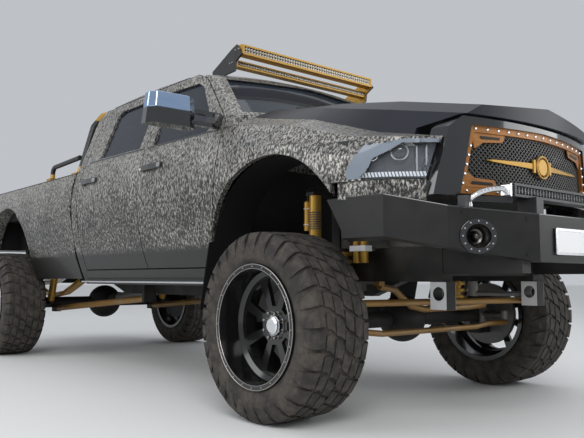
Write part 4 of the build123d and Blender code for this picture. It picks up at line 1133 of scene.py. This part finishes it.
class TRUCK_OT_bumper(bpy.types.Operator):
    """Add the beads and bolts, the blank plate in its frame and the tow eye plates"""

    bl_idname = "truck.bumper"
    bl_label = "Bumper"

    def execute(self, context):
        mesh = bmesh.new()
        for side in (-1, 1):
            top = [(0, -1134, 1006), (389, -1125, 1006), (757, -899, 1039), (947, -692, 1094)]
            top = [at(side * x, aft, z) for x, aft, z in top + [(952, -400, 1096)]]
            for start, end in zip(top, top[1:]):
                tube(mesh, start, end, 0.004, 12)
        make("bumper_beads", mesh, "gloss", "chassis")
        mesh = bmesh.new()
        prism(mesh, self.rounded(-5, 888, 258, 54, 8, -1140), (0, 0.002, 0))
        make("blank_plate", mesh, "plate", "chassis")
        mesh = bmesh.new()
        outer = self.rounded(-5, 888, 266, 62, 10, -1142)
        inner = self.rounded(-5, 888, 254, 50, 6, -1142)
        band(mesh, outer, inner, AFT * 0.005)
        make("plate_frame", mesh, "silver", "chassis")
        mesh = bmesh.new()
        for side in (-1, 1):
            for x, step in ((457, 3), (383, -3)):
                self.eye_plate(mesh, side, x, step)
        bevel(make("tow_eye_plates", mesh, "tow_plate", "chassis"), 0.0015)
        mesh = bmesh.new()
        for side in (-1, 1):
            for x, z in ((440, 985), (440, 825), (700, 1012), (700, 880)):
                # The face slants back by 228 mm in 370 from here
                aft = -1128 + (x - 390) * 228 / 370
                spot = at(side * x, aft, z)
                way = Vector((side * 0.52, -0.85, 0))
                tube(mesh, spot - way * 0.002, spot + way * 0.004, 0.009, 6, 0.008)
        make("bumper_bolts", mesh, "steel", "chassis")
        return {"FINISHED"}

    def rounded(self, x, z, half_wide, half_tall, radius, aft):
        """A rounded rectangle facing forward."""
        points = []
        for turn, (sx, sz) in enumerate(((1, 1), (-1, 1), (-1, -1), (1, -1))):
            for k in range(5):
                a = math.pi / 2 * (turn + k / 4)
                u = sx * (half_wide - radius) + radius * math.cos(a)
                v = sz * (half_tall - radius) + radius * math.sin(a)
                points.append(at(x + u, aft, z + v))
        return points

    def eye_plate(self, mesh, side, x, step):
        """A square plate with a round eye beside the frame horn."""
        outer, inner = [], []
        for i in range(24):
            a = 2 * math.pi * i / 24
            c, s = math.cos(a), math.sin(a)
            stretch = 1 / max(abs(c), abs(s))
            y = -610 + 49 * c * stretch
            z = 630 + 69 * s * stretch
            outer.append(at(side * x, y, z))
            inner.append(at(side * x, -612 + 34.5 * c, 640 + 34.5 * s))
        band(mesh, outer, inner, Vector((side * step / 1000, 0, 0)))


class TRUCK_OT_suspension(bpy.types.Operator):
    """Add reservoirs, hoses, boots and clamps beside the front shocks"""

    bl_idname = "truck.suspension"
    bl_label = "Suspension detail"

    def execute(self, context):
        gold, clamps, boots = bmesh.new(), bmesh.new(), bmesh.new()
        for side, name in SIDES[::-1]:
            tube(gold, at(side * 640, 158, 985), at(side * 640, 158, 1150), 0.021, 28)
            tube(gold, at(side * 640, 158, 1150), at(side * 640, 158, 1158), 0.021, 28, 0.012)
            for z in (1020, 1110):
                ring(clamps, at(side * 640, 158, z), UP, 0.0225, 0.003, 28, 6)
                block(clamps, at(side * 640 - 8, 126, z - 8), at(side * 640 + 8, 140, z + 8))
            for aft in (-150, -206):
                tube(gold, at(side * 560, aft, 800), at(side * 560, aft, 948), 0.021, 28)
                tube(gold, at(side * 560, aft, 948), at(side * 560, aft, 955), 0.021, 28, 0.014)
            block(clamps, at(side * 560 - 27, -236, 862), at(side * 560 + 27, -120, 892))
            for k in range(5):
                z = 884 + k * 11
                tube(boots, at(side * 560, -92, z), at(side * 560, -92, z + 6), 0.030, 24, 0.024)
                tube(boots, at(side * 560, -92, z + 6), at(side * 560, -92, z + 11), 0.024, 24, 0.03)
            for k in range(8):
                z = 990 + k * 13
                tube(boots, at(side * 640, 95, z), at(side * 640, 95, z + 7), 0.038, 28, 0.0345)
            tube(boots, at(side * 455, -178, 876), at(side * 540, -178, 876), 0.012, 16)
            self.hose(side, name)
        bevel(make("shock_reservoirs", gold, "gold", "chassis"), 0.0015)
        bevel(make("reservoir_clamps", clamps, "plate", "chassis"), 0.002)
        make("shock_boots", boots, "boot", "chassis")
        return {"FINISHED"}

    def hose(self, side, name):
        """A reservoir's hose: up from the reservoir, over, and down into the shock tower."""
        start, end = Vector((side * 640, 158)), Vector((side * 520, 120))
        way = (end - start).normalized()
        reach, bend, top = (end - start).length, 40, 1200
        arc = [(math.cos(k * math.pi / 16) * bend, math.sin(k * math.pi / 16) * bend) for k in range(9)]
        flat = [(0, 1158), (0, 1168), (0, 1180), (0, 1190)]
        flat += [(bend - c, top + s) for c, s in arc]
        flat += [(reach - bend + s, top + c) for c, s in arc]
        flat.append((reach, 1198))
        points = [at(*(start + way * along), z) for along, z in flat]
        data = bpy.data.curves.new("reservoir_hose", "CURVE")
        data.dimensions = "3D"
        data.bevel_depth = 0.008 / 2
        data.bevel_resolution = 3
        line = data.splines.new("POLY")
        line.points.add(len(points) - 1)
        for spot, point in zip(points, line.points):
            point.co = (*spot, 1)
        data.materials.append(look("plastic"))
        obj = link("reservoir_hose_" + name, data)
        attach(obj, "chassis")


class TRUCK_OT_trim(bpy.types.Operator):
    """Add bed rail caps, belt strips, wipers, mirror caps and glass, and silver strips along the sills as
    painted highlights
    """

    bl_idname = "truck.trim"
    bl_label = "Trim"

    def execute(self, context):
        mesh = bmesh.new()
        for side in (-1, 1):
            cap = [(858, 1556), (858, 1570), (868, 1577), (944, 1577), (960, 1566), (964, 1552)]
            cap += [(958, 1563), (866, 1563)]
            prism(mesh, [at(side * x, 2646, z) for x, z in cap], (0, 2.492, 0))
        head = [(2646, 1556), (2646, 1570), (2655, 1576), (2682, 1576), (2692, 1568), (2692, 1563)]
        head += [(2654, 1563)]
        prism(mesh, [at(-860, aft, z) for aft, z in head], (1.72, 0, 0))
        bevel(make("bed_rail_caps", mesh, "plastic", "chassis"), 0.002)
        self.belt()
        self.wipers()
        self.mirrors()
        # Painted highlight: thin silver rods along the sills stand in for the light caught along them
        mesh = bmesh.new()
        for side in (-1, 1):
            tube(mesh, at(side * 905, 800, 690), at(side * 905, 2590, 690), 0.006, 10)
        make("sill_highlight_strips", mesh, "silver", "chassis")
        return {"FINISHED"}

    def belt(self):
        """Black strips along the foot of each side window."""
        spans = {
            "door_front": [(610, 1596), (700, 1606), (1100, 1612), (1480, 1618)],
            "door_rear": [(1530, 1619), (2000, 1628), (2420, 1632)],
        }
        for door, line in spans.items():
            for side, name in SIDES:
                mesh = bmesh.new()
                rows = []
                for aft, z in line:
                    # The glass leans in from the belt
                    across = 944 - (z - 1608) * 0.36
                    corners = [(across + 6.5, z - 7), (across + 4.5, z + 3), (across - 4, z + 5)]
                    corners += [(across - 4, z - 7)]
                    rows.append([mesh.verts.new(at(side * x, aft, h)) for x, h in corners])
                loft(mesh, rows)
                body = "%s_%s" % (door, name)
                make("belt_strip_" + body, mesh, "gloss", body)

    def wipers(self):
        mesh = bmesh.new()
        reach = 560
        for x in (-420, 180):
            foot = at(x, 500, 1786)
            elbow = at(x + reach * 0.45, 560, 1826)
            tip = at(x + reach, 590, 1846)
            tube(mesh, foot - UP * 0.02, foot + UP * 0.012, 0.014, 20, 0.011)
            tube(mesh, foot, elbow, 0.006, 10, 0.005)
            start = at(x + 60, 546, 1816)
            tube(mesh, start, tip, 0.005, 8)
            tube(mesh, start - UP * 0.008, tip - UP * 0.008, 0.003, 6)
        make("wipers", mesh, "plastic", "chassis")

    def mirrors(self):
        """Caps that stand proud of the mirrors' heads, and their glass."""
        back, middle = 668, Vector((1275, 640))
        low = [(1120, 668), (1120, 600), (1180, 556), (1400, 566), (1436, 610), (1430, 668)]
        high = [(1126, 668), (1126, 610), (1180, 572), (1380, 580), (1410, 616), (1406, 668)]
        for side, name in SIDES:
            body = "door_front_" + name
            mesh = bmesh.new()
            rings = []
            for z, grow in ((1664, 1.0), (1672, 3.0), (1752, 3.0), (1759, 0.2)):
                t = (min(z, 1755) - 1575) / 180
                shrink = 0.985 if z > 1756 else 1.0
                row = []
                for foot, head in zip(low, high):
                    spot = Vector(foot).lerp(Vector(head), t)
                    spot += (spot - middle).normalized() * grow
                    x = middle.x + (spot.x - middle.x) * shrink
                    row.append(mesh.verts.new(at(side * x, min(spot.y, back), z)))
                rings.append(row)
            loft(mesh, rings)
            bevel(make("mirror_cap_sky_reflection_" + name, mesh, "mirror_cap_sky_reflection", body), 0.006, 3)
            mesh = bmesh.new()
            pane = [(1142, 1600), (1414, 1596), (1420, 1604), (1396, 1736), (1150, 1736)]
            prism(mesh, [at(side * x, back, z) for x, z in pane], (0, 0.003, 0))
            bevel(make("mirror_glass_" + name, mesh, "chrome", body), 0.001)


class TRUCK_OT_seats(bpy.types.Operator):
    """Upholster the seats with crowned leather cushions"""

    bl_idname = "truck.seats"
    bl_label = "Seats"

    def execute(self, context):
        bases = bmesh.new()
        for name, inner in (("left", 130), ("right", -660)):
            middle = inner + 265
            self.cushion("front_seat_" + name, (middle, 1320, 1040), (540, 500, 150), 0.07)
            self.cushion("front_back_" + name, (middle, 1556, 1395), (540, 150, 630), -0.19)
            self.cushion("front_headrest_" + name, (middle, 1606, 1786), (262, 92, 196), 0.0)
            block(bases, at(inner + 60, 1120, 840), at(inner + 470, 1520, 985))
            for post in (inner + 225, inner + 293):
                block(bases, at(post, 1590, 1680), at(post + 12, 1602, 1760))
        self.cushion("rear_seat", (0, 2100, 1010), (1290, 520, 150), 0.05)
        self.cushion("rear_back", (0, 2380, 1385), (1290, 140, 640), -0.16)
        block(bases, at(-640, 2000, 840), at(640, 2360, 950))
        console = [(1100, 842), (1620, 842), (1620, 1090), (1560, 1120), (1180, 1120), (1100, 1060)]
        prism(bases, [at(-100, y, z) for y, z in console], (0.2, 0, 0))
        base = bevel(make("seat_bases", bases, "plastic", "chassis"), 0.008, 3)
        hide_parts("seats")
        return {"FINISHED"}

    def cushion(self, name, centre, size, lean):
        """A crowned block of the given size in millimetres, leant about its own middle."""
        mesh = bmesh.new()
        bmesh.ops.create_cube(mesh, size=1)
        bmesh.ops.subdivide_edges(mesh, edges=mesh.edges[:], cuts=9, use_grid_fill=True)
        for vert in mesh.verts:
            u, v, w = vert.co * 2
            crown = (1 - u * u) * (1 - v * v)
            front = (1 - u * u) * (1 - w * w)
            inset = 1 - 0.10 * (abs(u) ** 6 * abs(w) ** 6 + abs(v) ** 6 * abs(w) ** 6)
            vert.co = Vector([edge / 2 * length * inset for edge, length in zip((u, v, w), size)])
            vert.co.z += math.copysign(14, w) * crown if abs(w) > 0.99 else 0
            vert.co.y += math.copysign(9, v) * front if abs(v) > 0.99 else 0
        turn = Matrix.Rotation(lean, 4, "X")
        mesh.transform(Matrix.Translation(at(*centre)) @ turn @ Matrix.Scale(0.001, 4))
        obj = make(name, mesh, "leather", "chassis")
        self.inflate(obj, 0.012)
        smooth = obj.modifiers.new("rounded", "SUBSURF")
        smooth.levels = smooth.render_levels = 1
        for face in obj.data.polygons:
            face.use_smooth = True

    def inflate(self, obj, cap):
        """Swells a cushion with cloth pressure and keeps each point's move within the cap."""
        scene = bpy.context.scene
        rest = [v.co.copy() for v in obj.data.vertices]
        cloth = obj.modifiers.new("swell", "CLOTH")
        cloth.settings.use_pressure = True
        cloth.settings.uniform_pressure_force = 4
        cloth.settings.effector_weights.gravity = 0
        cloth.settings.quality = 4
        for step in range(1, 21):
            scene.frame_set(step)
        graph = bpy.context.evaluated_depsgraph_get()
        swollen = obj.evaluated_get(graph).to_mesh()
        moved = [v.co.copy() for v in swollen.vertices]
        obj.evaluated_get(graph).to_mesh_clear()
        obj.modifiers.remove(cloth)
        scene.frame_set(1)
        for vert, start, end in zip(obj.data.vertices, rest, moved):
            step = end - start
            if step.length > cap:
                step = step.normalized() * cap
            vert.co = start + step


class TRUCK_OT_stage(bpy.types.Operator):
    """Set the floor, lights and camera"""

    bl_idname = "truck.stage"
    bl_label = "Stage"

    def execute(self, context):
        sizes = context.scene.truck_stage
        mesh = bmesh.new()
        half_width = 60
        bmesh.ops.create_grid(mesh, x_segments=1, y_segments=1, size=half_width)
        data = bpy.data.meshes.new("floor")
        mesh.to_mesh(data)
        mesh.free()
        floor = link("floor", data)
        s = Shader("floor_finish")
        base = tuple(sizes.floor)
        tone = s.noise(2.5, 3)
        s.set(
            Base_Color=s.mix(tone * 0.3, base, tuple(v * 0.94 for v in base)),
            Roughness=0.6 + tone * 0.1,
        )
        data.materials.append(s.material)
        world = bpy.data.worlds.new("studio")
        world.use_nodes = True
        sky = world.node_tree.nodes["Background"]
        sky.inputs[0].default_value = (0.86, 0.9, 0.95, 1)
        sky.inputs[1].default_value = 0.6
        context.scene.world = world
        lamps = [
            ("key", (-6.5, -9.0, 7.5), 5.0, sizes.key),
            ("side", (-10.0, 2.0, 5.0), 6.0, sizes.key * 0.6),
            ("fill", (7.0, -8.0, 4.0), 5.0, sizes.key * 0.35),
            ("top", (0.0, 0.5, 9.0), 7.0, sizes.key * 0.2),
        ]
        aim_at = Vector((0, -0.6, 0.9))
        for name, where, size, power in lamps:
            light = bpy.data.lights.new(name, "AREA")
            light.size = size
            light.energy = power
            lamp = link(name, light)
            lamp.location = where
            aim = aim_at - Vector(where)
            lamp.rotation_euler = aim.to_track_quat("-Z", "Y").to_euler()
        pitch, heading = 94.855, -40.565
        camera = link("camera", bpy.data.cameras.new("camera"))
        camera.location = (-3.259, FRONT_AXLE_Y - 2.763, 0.7206)
        camera.rotation_euler = (math.radians(pitch), 0, math.radians(heading))
        camera.data.sensor_width = 36
        camera.data.lens = 42.6
        context.scene.camera = camera
        context.scene.view_settings.view_transform = "Standard"
        return {"FINISHED"}


OPERATORS = [
    TRUCK_OT_finishes,
    TRUCK_OT_tyres,
    TRUCK_OT_wheels,
    TRUCK_OT_handles,
    TRUCK_OT_grille,
    TRUCK_OT_lamps,
    TRUCK_OT_light_bars,
    TRUCK_OT_bumper,
    TRUCK_OT_suspension,
    TRUCK_OT_trim,
    TRUCK_OT_seats,
    TRUCK_OT_stage,
]


class TRUCK_PT_panel(bpy.types.Panel):
    """Lists the truck's pieces"""

    bl_label = "Truck"
    bl_idname = "TRUCK_PT_panel"
    bl_space_type = "VIEW_3D"
    bl_region_type = "UI"
    bl_category = "Truck"

    def draw(self, context):
        for operator in OPERATORS:
            self.layout.operator(operator.bl_idname)
        self.layout.prop(context.scene.truck_tyres, "blocks")
        self.layout.prop(context.scene.truck_tyres, "depth")
        for colour in ("flake", "hood", "gold"):
            self.layout.prop(context.scene.truck_colours, colour)
        self.layout.prop(context.scene.truck_stage, "floor")
        self.layout.prop(context.scene.truck_stage, "key")


GROUPS = [
    ("truck_tyres", TruckTyres),
    ("truck_colours", TruckColours),
    ("truck_stage", TruckStage),
]


def register():
    for name, group in GROUPS:
        bpy.utils.register_class(group)
        setattr(bpy.types.Scene, name, bpy.props.PointerProperty(type=group))
    for operator in OPERATORS:
        bpy.utils.register_class(operator)
    bpy.utils.register_class(TRUCK_PT_panel)


def unregister():
    bpy.utils.unregister_class(TRUCK_PT_panel)
    for operator in reversed(OPERATORS):
        bpy.utils.unregister_class(operator)
    for name, group in reversed(GROUPS):
        delattr(bpy.types.Scene, name)
        bpy.utils.unregister_class(group)


def main():
    register()
    bpy.ops.truck.finishes()
    bpy.ops.truck.tyres()
    bpy.ops.truck.wheels()
    bpy.ops.truck.handles()
    bpy.ops.truck.grille()
    bpy.ops.truck.lamps()
    bpy.ops.truck.light_bars()
    bpy.ops.truck.bumper()
    bpy.ops.truck.suspension()
    bpy.ops.truck.trim()
    bpy.ops.truck.seats()
    bpy.ops.truck.stage()


if __name__ == "__main__":
    main()
